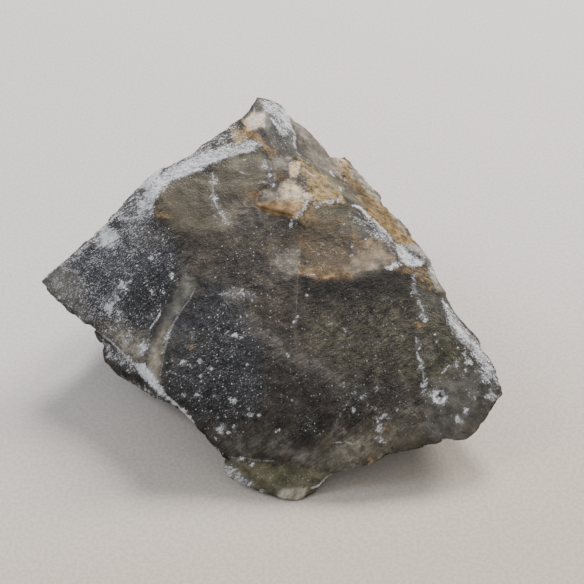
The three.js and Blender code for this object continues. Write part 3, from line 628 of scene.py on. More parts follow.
def sides_of(triangles):
    """The mesh's edges, and which edge each triangle's three sides are."""
    ends = np.stack([triangles, np.roll(triangles, -1, axis=1)], axis=2).reshape(-1, 2)
    edges, which = np.unique(np.sort(ends, axis=1), axis=0, return_inverse=True)
    return edges, which.reshape(-1, 3)


def triangle_normals(points, triangles):
    a, b, c = (points[triangles[:, corner]] for corner in range(3))
    return np.cross(b - a, c - a)


def unit(vectors):
    return vectors / np.maximum(np.linalg.norm(vectors, axis=1, keepdims=True), TINY)


def point_normals(points, triangles):
    across = triangle_normals(points, triangles)
    total = np.zeros_like(points)
    for corner in range(3):
        np.add.at(total, triangles[:, corner], across)
    return unit(total)


def sharp_edges(points, triangles):
    """The edges that turn sharply, and whether each of them sticks out."""
    edges, which = sides_of(triangles)
    order = np.argsort(which.reshape(-1), kind="stable")
    first, second = (order.reshape(-1, 2) // 3).T
    normals = unit(triangle_normals(points, triangles))
    middles = points[triangles].mean(axis=1)
    turn = np.arccos(np.clip((normals[first] * normals[second]).sum(axis=1), -1, 1))
    outward = (normals[first] * (middles[second] - middles[first])).sum(axis=1) < 0
    sharp = turn > SHARP_TURN
    return edges[sharp], outward[sharp]


def halve_long_edges(points, triangles, sharp):
    """Halves every edge longer than its spacing. Sharp edges stay sharp in both halves."""
    edges, which = sides_of(triangles)
    middles = points[edges].mean(axis=1)
    lengths = np.linalg.norm(points[edges[:, 0]] - points[edges[:, 1]], axis=1)
    long = lengths > spacing_at(middles)
    number = np.full(len(edges), -1)
    number[long] = len(points) + np.arange(long.sum())
    points = np.vstack([points, middles[long]])
    cuts = number[which]
    count = (cuts >= 0).sum(axis=1)
    # turned so that one cut is on the first side, and two cuts are on the first and second
    first = np.where(count == 1, np.argmax(cuts >= 0, axis=1), 0)
    first = np.where(count == 2, (np.argmin(cuts >= 0, axis=1) + 1) % 3, first)
    turned = (first[:, None] + np.arange(3)) % 3
    a, b, c = np.take_along_axis(triangles, turned, axis=1).T
    ab, bc, ca = np.take_along_axis(cuts, turned, axis=1).T
    patterns = {
        0: [(a, b, c)],
        1: [(a, ab, c), (ab, b, c)],
        2: [(ab, b, bc), (a, ab, bc), (a, bc, c)],
        3: [(a, ab, ca), (ab, b, bc), (ca, bc, c), (ab, bc, ca)],
    }
    made = [
        np.stack([corner[count == cut_count] for corner in piece], axis=1)
        for cut_count, pieces in patterns.items()
        for piece in pieces
    ]
    stride = len(points)
    keys = edges[:, 0] * stride + edges[:, 1]
    place = np.searchsorted(keys, sharp[:, 0] * stride + sharp[:, 1])
    middle = number[place]
    whole = middle < 0
    halves = [np.stack([sharp[~whole, end], middle[~whole]], axis=1) for end in (0, 1)]
    return points, np.vstack(made), np.vstack([sharp[whole], *halves])


def neighbour_mean(values, edges, total):
    """The mean over each point's neighbours along the edges given."""
    summed = np.zeros_like(values)
    np.add.at(summed, edges[:, 0], values[edges[:, 1]])
    np.add.at(summed, edges[:, 1], values[edges[:, 0]])
    return summed / np.maximum(total, 1)[:, None]


def smooth(points, triangles, sharp, rounds):
    """Rounds the mesh off between its sharp edges, and each sharp edge along its own run."""
    edges, _ = sides_of(triangles)
    beside = np.bincount(edges.reshape(-1), minlength=len(points))
    sharp_beside = np.bincount(sharp.reshape(-1), minlength=len(points))
    free = (sharp_beside == 0)[:, None]
    along = (sharp_beside == 2)[:, None]
    for _ in range(rounds):
        over_all = (points + neighbour_mean(points, edges, beside)) / 2
        over_run = (points + neighbour_mean(points, sharp, sharp_beside)) / 2
        points = np.where(free, over_all, np.where(along, over_run, points))
    return points


def spread(values, edges, rounds):
    """Lets marks on points bleed out to their neighbours."""
    beside = np.bincount(edges.reshape(-1), minlength=len(values))
    values = values[:, None]
    for _ in range(rounds):
        bled = BLEED * neighbour_mean(values, edges, beside) + (1 - BLEED) * values
        values = np.maximum(values, bled)
    return values[:, 0]


def spacing_at(points):
    """The longest that a mesh edge may be at each point, in millimetres."""
    plan = plan_of(points)
    # what lies further back than HIDDEN_FROM says is on the rear or the underside
    in_front = (points - FACE_MIDDLE) @ TOWARDS_VIEW
    shown = in_front > np.interp(plan[:, 1], *zip(*HIDDEN_FROM))
    spacing = np.where(shown, SPACING_SHOWN, SPACING_HIDDEN)
    for at, radius, _ in each_place(POWDER_SPOTS):
        spotted = shown & (gap_from(plan, at) < radius + SPOT_MARGIN)
        spacing = np.where(spotted, SPACING_FINE, spacing)
    return np.where(shown & (gap_from(plan, PIT["at"]) < PIT["halo"]), SPACING_PIT, spacing)


def ridge_on_new_points(ridge, sharp, before):
    """A point halfway along a sharp edge is on a ridge if the edge's ends both are."""
    ends = sharp[sharp[:, 1] >= before]
    least = np.full(len(ridge), np.inf)
    np.minimum.at(least, ends[:, 1], ridge[ends[:, 0]])
    return np.where(np.isfinite(least), least, ridge)


def refine(points, triangles):
    """Splits the block's faces finer, and tells which points are on edges that stick out."""
    sharp, sticks_out = sharp_edges(points, triangles)
    ridge = np.zeros(len(points))
    ridge[sharp[sticks_out].reshape(-1)] = 1.0
    for _ in range(HALVINGS):
        before = len(points)
        points, triangles, sharp = halve_long_edges(points, triangles, sharp)
        ridge = np.concatenate([ridge, np.zeros(len(points) - before)])
        ridge = ridge_on_new_points(ridge, sharp, before)
        points = smooth(points, triangles, sharp, SMOOTH_ROUNDS)
    return points, triangles, ridge


# ---------------------------------------------------------------- noise on the block's points

# Noises made of layers, each with its size in millimetres, its seed and its amount.
DRIFT = [[(4.0, 7.0, 1.0)], [(4.0, 31.0, 1.0)]]  # across the plan, and down it
FINE_DRIFT = [[(1.6, 5.0, 1.0)], [(1.6, 15.0, 1.0)]]
WOBBLE = [(0.95, 67.0, 1.0), (2.2, 69.0, 0.5)]  # jogs the borders of spots, lines and the pit
PIT_WOBBLE = [(0.7, 73.0, 0.45)]
HIDDEN_TONE = [(12.0, 131.0, 0.3)]
GRAIN_RELIEF = [(2.4, 3.0, 0.16), (1.15, 11.0, 0.11)]
SWELL_RELIEF = [(9.0, 21.0, 0.3), (4.6, 27.0, 0.16)]
POWDER_RELIEF = [(0.9, 61.0, 0.1)]
LUMPS = {  # the round lumps of two kinds of stone, and the crumbs on them
    "ochre": ([(3.0, 5.0, 0.75)], [(1.4, 9.0, 0.35)]),
    "gold": ([(1.8, 23.0, 0.5)], [(1.0, 29.0, 0.3)]),
}

# Noises that come in patches: the values between which a patch fades in, and the layers.
PATCHES = {
    "worn": (-0.25, 0.5, [(9.0, 53.0, 1.0), (3.0, 17.0, 0.5)]),
    "chipped": (0.0, 0.5, [(3.2, 41.0, 1.0), (1.3, 43.0, 0.4)]),
    "olive": (0.0, 0.4, [(22.0, 71.0, 1.0)]),
    "blue": (0.05, 0.45, [(26.0, 83.0, 1.0)]),
    "honey": (0.22, 0.5, [(15.0, 97.0, 1.0)]),
    "powder": (0.42, 0.8, [(6.5, 113.0, 1.0), (1.6, 119.0, 0.6)]),
    "crust": (-0.5, 0.3, [(7.0, 127.0, 1.0), (2.2, 137.0, 0.4)]),
}


def rough_noise(points, size, seed):
    """Smooth noise from -1 to 1 or so at each point."""
    shifted = (points + seed) / size
    return np.fromiter((noise.noise(place) for place in shifted), float, len(points))


def layered(points, layers):
    return sum(amount * rough_noise(points, size, seed) for size, seed, amount in layers)


def patches(points, name):
    low, high, layers = PATCHES[name]
    return smooth_step(layered(points, layers), low, high)


# ---------------------------------------------------------------- marks on the block's points

SHOWN_TURN = (-0.16, -0.02)  # cosines to the view between which a side turns out of sight
POWDER_SWAY = 1.6  # plan units that powder patches wander from their outlines
ZONE_SWAY = 2.4  # plan units that kinds of stone wander from theirs
ZONE_FINE_SWAY = 1.5  # plan units that they wander over a shorter way
THREAD_SWAY = 0.5  # plan units that thin lines wander
WOBBLE_MOST = 0.9
LINE_JOG = 0.9  # how much the wobble widens and narrows powder lines
LINE_CHANGE = 1.1  # and how much it thickens and thins their powder
LINE_FADE = 1.7  # a powder line fades out at this many half widths
SPOT_JOG = 0.9  # how much the wobble moves the borders of spots
SPOT_FADE = 1.6  # a spot fades out at this many radii
SPOT_SHARE = 0.85  # the share of its own strength that a spot is drawn with
RING_JOG = 0.14  # how much the wobble moves the border of the pit's powder ring
HOLE_JOG = 0.25  # and of its painted dark ring of shade
PORE_FADE = (0.4, 2.4)  # radii from a pore's middle over which it fades out
TONE_FADE = (0.2, 1.8)  # half widths from a tone line's middle over which it fades out
HIDDEN_SUGAR = 0.36  # how densely the hidden sides are sprinkled with grains
HIDDEN_CURLS = 0.2  # and with curled threads
HIDDEN_SHARES = {"olive": 0.75, "blue": 0.8, "honey": 0.5}
HIDDEN_POWDER = 0.62
CRUST_FADE = [(8.0, 26.0), (-4.0, 8.0), (14.0, 25.0)]  # mm along x, y and z, on hidden sides
WORN_SHOWN = 0.45  # powder on worn edges that the plan shows
WORN_HIDDEN = 0.62  # and on the others
WORN_ROUNDS = 4  # passes that powder spreads over from an edge that sticks out


def shown_share(points, normals, plan):
    """1 where the plan shows the stone, and 0 on its hidden sides."""
    towards = unit(FACE_MIDDLE + VIEW_DISTANCE * TOWARDS_VIEW - points)
    facing = smooth_step((normals * towards).sum(axis=1), *SHOWN_TURN)
    return np.maximum(facing, zone_share(plan, WRAP_ZONES))


def tone_and_painted_light(plan):
    """How much lighter (over 0) or darker the stone is: its tone, and painted shade and highlights.
    """
    total = np.zeros(len(plan))
    for outline, soft, amount in TONE_AND_LIGHT_ZONES:
        total += amount * inside_share(plan, outline, soft)
    near, far = TONE_FADE
    for line, half_width, amount in TONE_LINES:
        gap = distance_from(plan, corners_of(line))
        total += amount * fade_out(gap, near * half_width, far * half_width)
    return total


def powder(wavy, plan, wobble):
    """Share of the stone that powder hides: patches, soft lines, spots and the pit's ring."""
    share = zone_share(wavy, POWDER_ZONES)
    for line, half_width, strength in POWDER_LINES:
        gap = distance_from(wavy, corners_of(line)) / (half_width * (1 + LINE_JOG * wobble))
        line_share = strength * (1 + LINE_CHANGE * wobble) * fade_out(gap, 0.0, LINE_FADE)
        share = np.maximum(share, line_share)
    for at, radius, strength in each_place(POWDER_SPOTS):
        gap = gap_from(plan, at) * (1 + SPOT_JOG * wobble) / radius
        share = np.maximum(share, SPOT_SHARE * strength * fade_out(gap, 0.0, SPOT_FADE))
    pit_gap = gap_from(plan, PIT["at"]) * (1 + RING_JOG * wobble)
    ring = PIT["ring_powder"] * fade_out(np.abs(pit_gap - PIT["ring"]), 0.0, PIT["ring_width"])
    halo = PIT["halo_powder"] * fade_out(pit_gap, PIT["ring"], PIT["halo"])
    share = np.maximum(share, np.maximum(ring, halo))
    return np.where(pit_gap < PIT["hole"], PIT["hole_powder"], share)


def worn_powder(points, plan, shown, edges, ridge):
    """Powder on the edges that stick out."""
    edge = spread(ridge, edges, WORN_ROUNDS)
    most = np.where(shown > 0.5, WORN_SHOWN, WORN_HIDDEN)
    kept_clean = shown * zone_share(plan, UNWORN_ZONES)
    return edge * patches(points, "worn") * most * (1 - kept_clean)


def pore_and_pit_shade(plan, wobble):
    """Painted shade: small dark pores, and the dark ring inside the pit's hollow."""
    pit_gap = gap_from(plan, PIT["at"]) * (1 + HOLE_JOG * wobble)
    share = PIT["dark"] * fade_out(np.abs(pit_gap - PIT["shade_ring"]), 0.0, PIT["shade_width"])
    near, far = PORE_FADE
    for at, radius in each_place(DARK_PORES):
        share = np.maximum(share, fade_out(gap_from(plan, at), near * radius, far * radius))
    return share


def add_hidden_marks(marks, points, hidden):
    """The rear and the underside: the same kinds of stone, drifting into each other."""
    for name, share in HIDDEN_SHARES.items():
        marks[name] += hidden * share * patches(points, name)
    crust = hidden * patches(points, "crust")
    for axis, (low, high) in enumerate(CRUST_FADE):
        crust *= smooth_step(points[:, axis], low, high)
    marks["ochre"] = np.maximum(marks["ochre"], crust)
    bruises = hidden * HIDDEN_POWDER * patches(points, "powder")
    marks["powder"] = np.maximum(marks["powder"], bruises)
    marks["tone_and_painted_light"] += hidden * layered(points, HIDDEN_TONE)


def mark_points(points, normals, edges, ridge):
    """What the stone is like at each point: shares from 0 to 1, tone with painted shade and
    highlights, and thin lines.
    """
    plan = plan_of(points)
    shown = shown_share(points, normals, plan)
    drift = np.stack([layered(points, layers) for layers in DRIFT], axis=1)
    fine_drift = np.stack([layered(points, layers) for layers in FINE_DRIFT], axis=1)
    wobble = np.clip(layered(points, WOBBLE), -WOBBLE_MOST, WOBBLE_MOST)
    wavy = plan + ZONE_SWAY * drift + ZONE_FINE_SWAY * fine_drift
    marks = {name: shown * zone_share(wavy, zones) for name, zones in ZONES.items()}
    marks["sugar"] = shown * zone_share(wavy, SUGAR_ZONES) + (1 - shown) * HIDDEN_SUGAR
    marks["curls"] = shown * zone_share(wavy, CURL_ZONES) + (1 - shown) * HIDDEN_CURLS
    marks["crest_side"] = zone_share(plan, CREST_SIDE)
    marks["clear"] = shown * zone_share(wavy, CLEAR_ZONES)
    marks["tone_and_painted_light"] = shown * tone_and_painted_light(wavy)
    marks["hollow_shade"] = shown * pore_and_pit_shade(plan, wobble)
    drawn = shown * powder(plan + POWDER_SWAY * drift, plan, wobble)
    marks["powder"] = np.maximum(drawn, worn_powder(points, plan, shown, edges, ridge))
    for name, threads in (("white", WHITE_THREADS), ("black", CRACKS_AND_SHADE_LINES)):
        side, width = thread_marks(plan + THREAD_SWAY * fine_drift, threads)
        marks[name + "_side"] = side
        marks[name + "_width"] = shown * width
    add_hidden_marks(marks, points, 1 - shown)
    return marks


# ---------------------------------------------------------------- relief

FLAT_ZONE = 1.6  # mm, the roughness fades out this far above the resting face
CALM_KINDS = ("honey", "pale", "olive", "green")  # kinds of stone with less fine relief
CALM = 0.6  # how much less
EDGE_LOSS = 0.12  # mm that an edge that sticks out is worn down
CHIP_LOSS = 0.5  # mm more that is chipped off it
CHIP_ROUNDS = 3  # passes that the wear spreads over from an edge
PIT_DEPTH = 0.22  # mm
PIT_WALL = (0.2, 1.2)  # hole radii between which the pit's wall slopes up
PIT_FACING = 0.3  # the pit is only cut where the stone faces the view by this cosine


def roughen(points, normals, marks, edges, ridge):
    """Moves the points in and out: grain, lumps, chipped edges and the pit."""
    calm = 1 - CALM * np.maximum.reduce([marks[name] for name in CALM_KINDS])
    height = layered(points, GRAIN_RELIEF) * calm + layered(points, SWELL_RELIEF)
    for name, (lumps, crumbs) in LUMPS.items():
        height += marks[name] * (np.abs(layered(points, lumps)) + layered(points, crumbs))
    height -= spread(ridge, edges, CHIP_ROUNDS) * (EDGE_LOSS + CHIP_LOSS * patches(points, "chipped"))
    height += marks["powder"] * layered(points, POWDER_RELIEF)
    pit_gap = gap_from(plan_of(points), PIT["at"]) * (1 + layered(points, PIT_WOBBLE))
    in_pit = (normals @ TOWARDS_VIEW > PIT_FACING) & (pit_gap < 2 * PIT["halo"])
    height -= in_pit * PIT_DEPTH * fade_out(pit_gap / PIT["hole"], *PIT_WALL)
    height *= smooth_step(points[:, 2], 0.0, FLAT_ZONE)
    moved = points + normals * height[:, None]
    moved[:, 2] = np.maximum(moved[:, 2], 0.0)
    return moved


def add_object(name, data):
    thing = bpy.data.objects.new(name, data)
    bpy.context.scene.collection.objects.link(thing)
    return thing


def make_block(source):
    """The dressed stone, which stands for the CAD block."""
    points, triangles, ridge = refine(*read_block(source))
    edges, _ = sides_of(triangles)
    normals = point_normals(points, triangles)
    marks = mark_points(points, normals, edges, ridge)
    points = roughen(points, normals, marks, edges, ridge)
    mesh = bpy.data.meshes.new("aragonite_stone")
    mesh.from_pydata((points * MM).tolist(), [], triangles.tolist())
    mesh.shade_smooth()
    for name, values in marks.items():
        attribute = mesh.attributes.new(name, "FLOAT", "POINT")
        attribute.data.foreach_set("value", values.astype(np.float32))
    mesh.materials.append(stone_material())
    return add_object("aragonite_stone", mesh)


# ---------------------------------------------------------------- building shader trees

class Value:
    """An output of a shader node. Adding, subtracting and multiplying it adds Math nodes."""

    def __init__(self, tree, socket):
        self.tree = tree
        self.socket = socket

    def math(self, operation, other=0.0):
        return make(self.tree, "ShaderNodeMath", {0: self, 1: other}, operation=operation)

    def __add__(self, other):
        return self.math("ADD", other)

    def __sub__(self, other):
        return self.math("SUBTRACT", other)

    def __mul__(self, other):
        return self.math("MULTIPLY", other)

    def __abs__(self):
        return self.math("ABSOLUTE")

    __radd__ = __add__

    def __rsub__(self, number):
        return make(self.tree, "ShaderNodeMath", {0: number, 1: self}, operation="SUBTRACT")

    def step_up(self, low, high):
        """0 below the low value, 1 above the high one, and a smooth curve between them."""
        limits = {"Value": self, "From Min": low, "From Max": high}
        return make(self.tree, "ShaderNodeMapRange", limits, interpolation_type="SMOOTHSTEP")

    def blend(self, under, over):
        """One colour where this is 0, and another where it is 1."""
        ends = {0: self, 6: under, 7: over}
        return make(self.tree, "ShaderNodeMix", ends, output=2, data_type="RGBA")

    def along(self, axis):
        """How far a place lies along an axis."""
        ends = {0: self, 1: tuple(axis)}
        return make(self.tree, "ShaderNodeVectorMath", ends, output="Value", operation="DOT_PRODUCT")

    def feed(self, node, name):
        self.tree.links.new(self.socket, node.inputs[name])


def make(tree, kind, inputs=None, output=0, **properties):
    """Adds a node, and gives one of its outputs. An input that is a Value is linked, others set."""
    node = tree.nodes.new(kind)
    for name, value in properties.items():
        setattr(node, name, value)
    for name, value in (inputs or {}).items():
        if isinstance(value, Value):
            value.feed(node, name)
        else:
            node.inputs[name].default_value = value
    return Value(tree, node.outputs[output])


def object_place(tree):
    return make(tree, "ShaderNodeTexCoord", output="Object")


def mark(tree, name):
    return make(tree, "ShaderNodeAttribute", output="Fac", attribute_name=name)


NOISE_SPREAD = (0.3, 0.7)  # Blender's noise lies mostly between these, and is spread to 0 and 1


def grain(place, size, detail=2.0, roughness=0.6):
    """Noise from 0 to 1, whose lumps are about this size in millimetres."""
    settings = {"Vector": place, "Scale": 1.0 / (size * MM), "Detail": detail, "Roughness": roughness}
    return make(place.tree, "ShaderNodeTexNoise", settings).step_up(*NOISE_SPREAD)


def weighted(noises, amounts):
    """Several noises, each times its amount."""
    return [noises[name] * amount for name, amount in amounts.items()]


def swings(noises, amounts):
    """Several noises that lie about zero, each times its amount."""
    return [(noises[name] - 0.5) * amount for name, amount in amounts.items()]


def along_face(place, slope, squeeze):
    """Places squeezed along a direction on the broken face, so that noise runs in streaks there."""
    run, rise = math.cos(slope), math.sin(slope)
    along = np.array([run, 0, 0]) + rise * UP_FACE
    beside = np.array([-rise, 0, 0]) + run * UP_FACE
    parts = [place.along(axis) for axis in (along * squeeze, beside, TOWARDS_VIEW)]
    return make(place.tree, "ShaderNodeCombineXYZ", dict(enumerate(parts)))


def new_material(name):
    """A material with its node tree and its shader."""
    material = bpy.data.materials.new(name)
    material.use_nodes = True
    return material, material.node_tree, material.node_tree.nodes["Principled BSDF"]


def srgb(red, green, blue):
    """A colour given as 0 to 255 for the screen, as the shader's linear light."""
    def light(level):
        share = level / 255
        return share / 12.92 if share <= 0.04045 else ((share + 0.055) / 1.055) ** 2.4
    return (light(red), light(green), light(blue), 1.0)


# ---------------------------------------------------------------- the stone's material

# The noises that the stone is made from: lump size in millimetres, detail, and roughness where
# it isn't the usual one.
GRAINS = {
    "cloud": (8.0, 5.0),
    "middle": (2.4, 4.0, 0.65),
    "fine": (0.8, 4.0, 0.7),
    "grit": (0.34, 2.0),
    "ragged": (1.7, 6.0, 0.8),
    "patchy": (3.6, 3.0),
}
STREAK_GRAIN = (0.5, 3.0)
SALT_GRAIN = (0.24, 2.0, 0.7)
GRAIN_SLOPE = math.radians(36)  # streaks on the broken face run up to the right
CREST_SLOPE = math.radians(-46)  # and beside the crest they run down to the right
STREAK_SQUEEZE = 0.2  # a streak's width over its length
SALT_SQUEEZE = 0.5  # the same for the salt-like grains
WARP_SIZE = 0.9  # mm, size of the swirls that bend the curled threads and the painted glints
WARP = 0.55  # mm that they bend them by, at most

# Each kind of stone, laid over those before it: its darker and lighter colour, the noise that
# they alternate in, and how ragged its border is.
DARK_STONE = (srgb(38, 35, 31), srgb(66, 60, 53))
KINDS = [
    ("blue", srgb(34, 35, 38), srgb(62, 63, 68), "fine", 0.5),
    ("olive", srgb(66, 61, 49), srgb(98, 91, 75), "cloud", 0.4),
    ("slate", srgb(80, 78, 73), srgb(108, 106, 98), "middle", 0.4),
    ("green", srgb(64, 63, 48), srgb(103, 100, 80), "middle", 0.4),
    ("honey", srgb(67, 48, 18), srgb(104, 79, 33), "cloud", 0.5),
    ("ochre", srgb(70, 48, 20), srgb(164, 138, 88), "ragged", 1.1),
    ("gold", srgb(84, 64, 27), srgb(186, 159, 98), "ragged", 1.1),
    ("pale", srgb(115, 109, 96), srgb(162, 156, 142), "middle", 0.45),
    ("cream", srgb(152, 122, 84), srgb(233, 214, 180), "ragged", 0.7),
    ("orange", srgb(110, 84, 52), srgb(172, 142, 100), "middle", 0.7),
    # dark: dark stone, and painted shade where its zones lie in shade
    ("dark", srgb(30, 28, 26), srgb(52, 48, 43), "middle", 0.4),
]
KIND_FADE = 0.2  # where there is less of a kind than this, it fades away

# How much each noise lightens and darkens the stone: softly, and sandily.
SOFT_SHADES = {"cloud": 0.22, "middle": 0.2}
SANDY_SHADES = {"fine": 0.26, "grit": 0.45, "streak": 0.95}
LEAST_LIGHT = 0.2  # the share of its colour that the darkest stone keeps
CLEAR_CALM = 0.8  # how much of its sandiness clear stone lacks

SUGAR_DULL = srgb(190, 191, 196)
# Painted glints: bright white specks that stand in for light glinting off the grains.
GLINT_WHITE = srgb(214, 214, 216)
SUGAR_GAIN = 0.33  # how much sugar lifts the salt-like noise that the dull grains come from
SUGAR_CLUMPS = 0.7  # how unevenly it does so
SUGAR_FADE = (0.98, 1.28)  # heights of that noise between which a dull grain shows
SUGAR_COVER = 0.74
GLINT_CELL = 0.64  # mm between places where a painted glint may be
GLINT_RARITY = 0.6  # share of those places that are left without one
GLINT_REACH = 0.66  # how fast the glints' radii, in cells, grow over the other places
GLINT_FADE = (-0.05, 0.06)  # cells from a glint's border over which it fades in
GLINT_SUGAR = 0.6  # glints are at full strength from this much sugar on

CURL_PALE = srgb(176, 162, 136)
CURL_CELL = 1.5  # mm across the loops of the curled threads
CURL_WIDTH = 0.1  # how far from the middle of its noise a curled thread reaches
CURL_STRENGTH = 0.8
CURL_PATCHES = (0.35, 0.9)  # noise between which curled threads fade in

THREAD_RAGS = 1.6  # how much fine noise widens and narrows a thin line
THREAD_BASE = 0.5  # this and the fine noise's mean of 0.5 keep its width as drawn on average
THREAD_GAIN = (0.05, 0.95)  # half widths between which a thin line gains strength
THREAD_EDGE = (-0.8, 0.5)  # plan units across a thin line's edge over which it fades in
THREAD_GAPS = (0.2, 0.6)  # noise between which a thin line is broken and whole
THREAD_KEPT = 0.25  # its strength where it is broken

VEIL_COLOUR = srgb(150, 152, 158)
VEIL_COVER = 0.55
POWDER_DULL = srgb(190, 192, 198)
POWDER_WHITE = srgb(242, 243, 246)
POWDER_RAGS = {"patchy": 0.14, "streak": 0.34, "grit": 0.32, "ragged": 0.2}  # noises in its flecks
POWDER_RAG_SPREAD = (0.2, 0.8)  # their sum lies mostly between these, and is spread to 0 and 1
POWDER_GAIN = 1.12  # how strongly a share of powder stands against that sum
POWDER_EDGE = (-0.08, 0.4)  # how far above it powder begins to show and hides the stone
POWDER_COVER = 0.92
# Black for dark cracks, and for painted shade in the lines under the lip and the left face's edge, in
# pores and in the pit.
CRACK_AND_SHADE_BLACK = srgb(26, 24, 22)
CRACK_AND_SHADE_COVER = 0.85
PORE_EDGE = (0.35, 0.7)

ROUGHNESS = 0.54
POWDER_ROUGHNESS = 0.35  # how much rougher powder is
SALT_ROUGHNESS = 0.3  # how much rougher or smoother the salt-like grains are
CLEAR_GLOSS = 0.14  # how much smoother clear stone is
SPECULAR = 0.22
RELIEF = {"middle": 0.5, "fine": 0.45, "grit": 0.35, "streak": 0.5}
RELIEF_DEPTH = 0.3  # mm
RELIEF_STRENGTH = 0.95
CLEAR_SMOOTH = 0.65  # how much of that strength clear stone lacks


def stone_noises(place):
    """The noises that the stone is made from, by name."""
    noises = {name: grain(place, *settings) for name, settings in GRAINS.items()}
    noises["salt"] = grain(along_face(place, GRAIN_SLOPE, SALT_SQUEEZE), *SALT_GRAIN)
    up_face = grain(along_face(place, GRAIN_SLOPE, STREAK_SQUEEZE), *STREAK_GRAIN)
    down_crest = grain(along_face(place, CREST_SLOPE, STREAK_SQUEEZE), *STREAK_GRAIN)
    ends = {0: mark(place.tree, "crest_side"), 2: up_face, 3: down_crest}
    noises["streak"] = make(place.tree, "ShaderNodeMix", ends, data_type="FLOAT")
    return noises


def bare_stone(tree, noises):
    """The stone's colour: its kinds over each other, lightened and darkened by noise and by the tone
    mark, with its painted shade and highlights.
    """
    colour = noises["middle"].blend(*DARK_STONE)
    for name, low, high, lumps, ragged in KINDS:
        share = mark(tree, name) + (noises["ragged"] - 0.5) * ragged
        present = mark(tree, name).step_up(0.0, KIND_FADE)
        share = share.step_up(0.0, 1.0) * present
        colour = share.blend(colour, noises[lumps].blend(low, high))
    light = sum(swings(noises, SOFT_SHADES), mark(tree, "tone_and_painted_light") + 1.0)
    sandiness = 1.0 - mark(tree, "clear") * CLEAR_CALM
    light = light + sum(swings(noises, SANDY_SHADES)) * sandiness
    lit = {0: colour, 3: light.math("MAXIMUM", LEAST_LIGHT)}
    return make(tree, "ShaderNodeVectorMath", lit, operation="SCALE")


def curled(warped, noises, colour):
    """Fine pale threads that curl through the clearer stone."""
    from_middle = abs(grain(warped, CURL_CELL, detail=1.0) - 0.5)
    thin = CURL_STRENGTH - from_middle.step_up(0.0, CURL_WIDTH)
    share = thin * noises["middle"].step_up(*CURL_PATCHES) * mark(warped.tree, "curls")
    return share.math("MAXIMUM").blend(colour, CURL_PALE)


def sugar_and_glints(warped, noises, colour):
    """Small light grains in crowds, and bright painted glints apart."""
    sugar = mark(warped.tree, "sugar")
    crowd = (noises["middle"] - 0.5) * SUGAR_CLUMPS + 1.0
    dull = (noises["salt"] + sugar * SUGAR_GAIN * crowd).step_up(*SUGAR_FADE)
    colour = (dull * SUGAR_COVER).blend(colour, SUGAR_DULL)
    cells = {"Vector": warped, "Scale": 1 / (GLINT_CELL * MM)}
    from_grain = make(warped.tree, "ShaderNodeTexVoronoi", cells, output="Distance")
    cell_colour = Value(warped.tree, from_grain.socket.node.outputs["Color"])
    pick = make(warped.tree, "ShaderNodeSeparateColor", {0: cell_colour})
    glint = ((pick - GLINT_RARITY) * GLINT_REACH - from_grain).step_up(*GLINT_FADE)
    return (glint * sugar.step_up(0.0, GLINT_SUGAR)).blend(colour, GLINT_WHITE)


def thread(tree, name, noises):
    """Where a thin line lies: crisp, and broken up by fine noise."""
    line_width = mark(tree, name + "_width")
    width = line_width * ((noises["grit"] - 0.5) * THREAD_RAGS + noises["fine"] + THREAD_BASE)
    from_edge = width - abs(mark(tree, name + "_side"))
    whole = noises["ragged"].step_up(*THREAD_GAPS) * (1 - THREAD_KEPT) + THREAD_KEPT
    return from_edge.step_up(*THREAD_EDGE) * (line_width.step_up(*THREAD_GAIN) * whole)


def powder_cover(tree, noises):
    """Where powder hides the stone: ragged flecks, closer together the more of it there is."""
    rags = sum(weighted(noises, POWDER_RAGS)).step_up(*POWDER_RAG_SPREAD)
    return (mark(tree, "powder") * POWDER_GAIN - rags).step_up(*POWDER_EDGE)


def powdered(tree, noises, colour, cover):
    """A thin veil wherever there is powder, and white where it covers the stone."""
    veil = mark(tree, "powder").step_up(0.0, 1.0) * VEIL_COVER
    white = noises["fine"].blend(POWDER_DULL, POWDER_WHITE)
    return (cover * POWDER_COVER).blend(veil.blend(colour, VEIL_COLOUR), white)


def cracks_and_shade(tree, noises, colour):
    """Dark cracks, and painted shade: dark lines under the scar's lip and the left face's edge, pores
    and the pit's dark ring.
    """
    hollow_shade = mark(tree, "hollow_shade").step_up(*PORE_EDGE)
    black = thread(tree, "black", noises).math("MAXIMUM", hollow_shade)
    return (black * CRACK_AND_SHADE_COVER).blend(colour, CRACK_AND_SHADE_BLACK)


def stone_gloss(tree, noises, cover):
    """Roughness: powder is dull, and clear stone is smooth."""
    rough = cover * POWDER_ROUGHNESS + (noises["salt"] - 0.5) * SALT_ROUGHNESS
    return rough - mark(tree, "clear") * CLEAR_GLOSS + ROUGHNESS


def stone_relief(tree, noises):
    """Fine bumps, lower where the stone is clear."""
    strength = RELIEF_STRENGTH - mark(tree, "clear") * CLEAR_SMOOTH
    height = sum(weighted(noises, RELIEF))
    settings = {"Height": height, "Strength": strength, "Distance": RELIEF_DEPTH * MM}
    return make(tree, "ShaderNodeBump", settings)


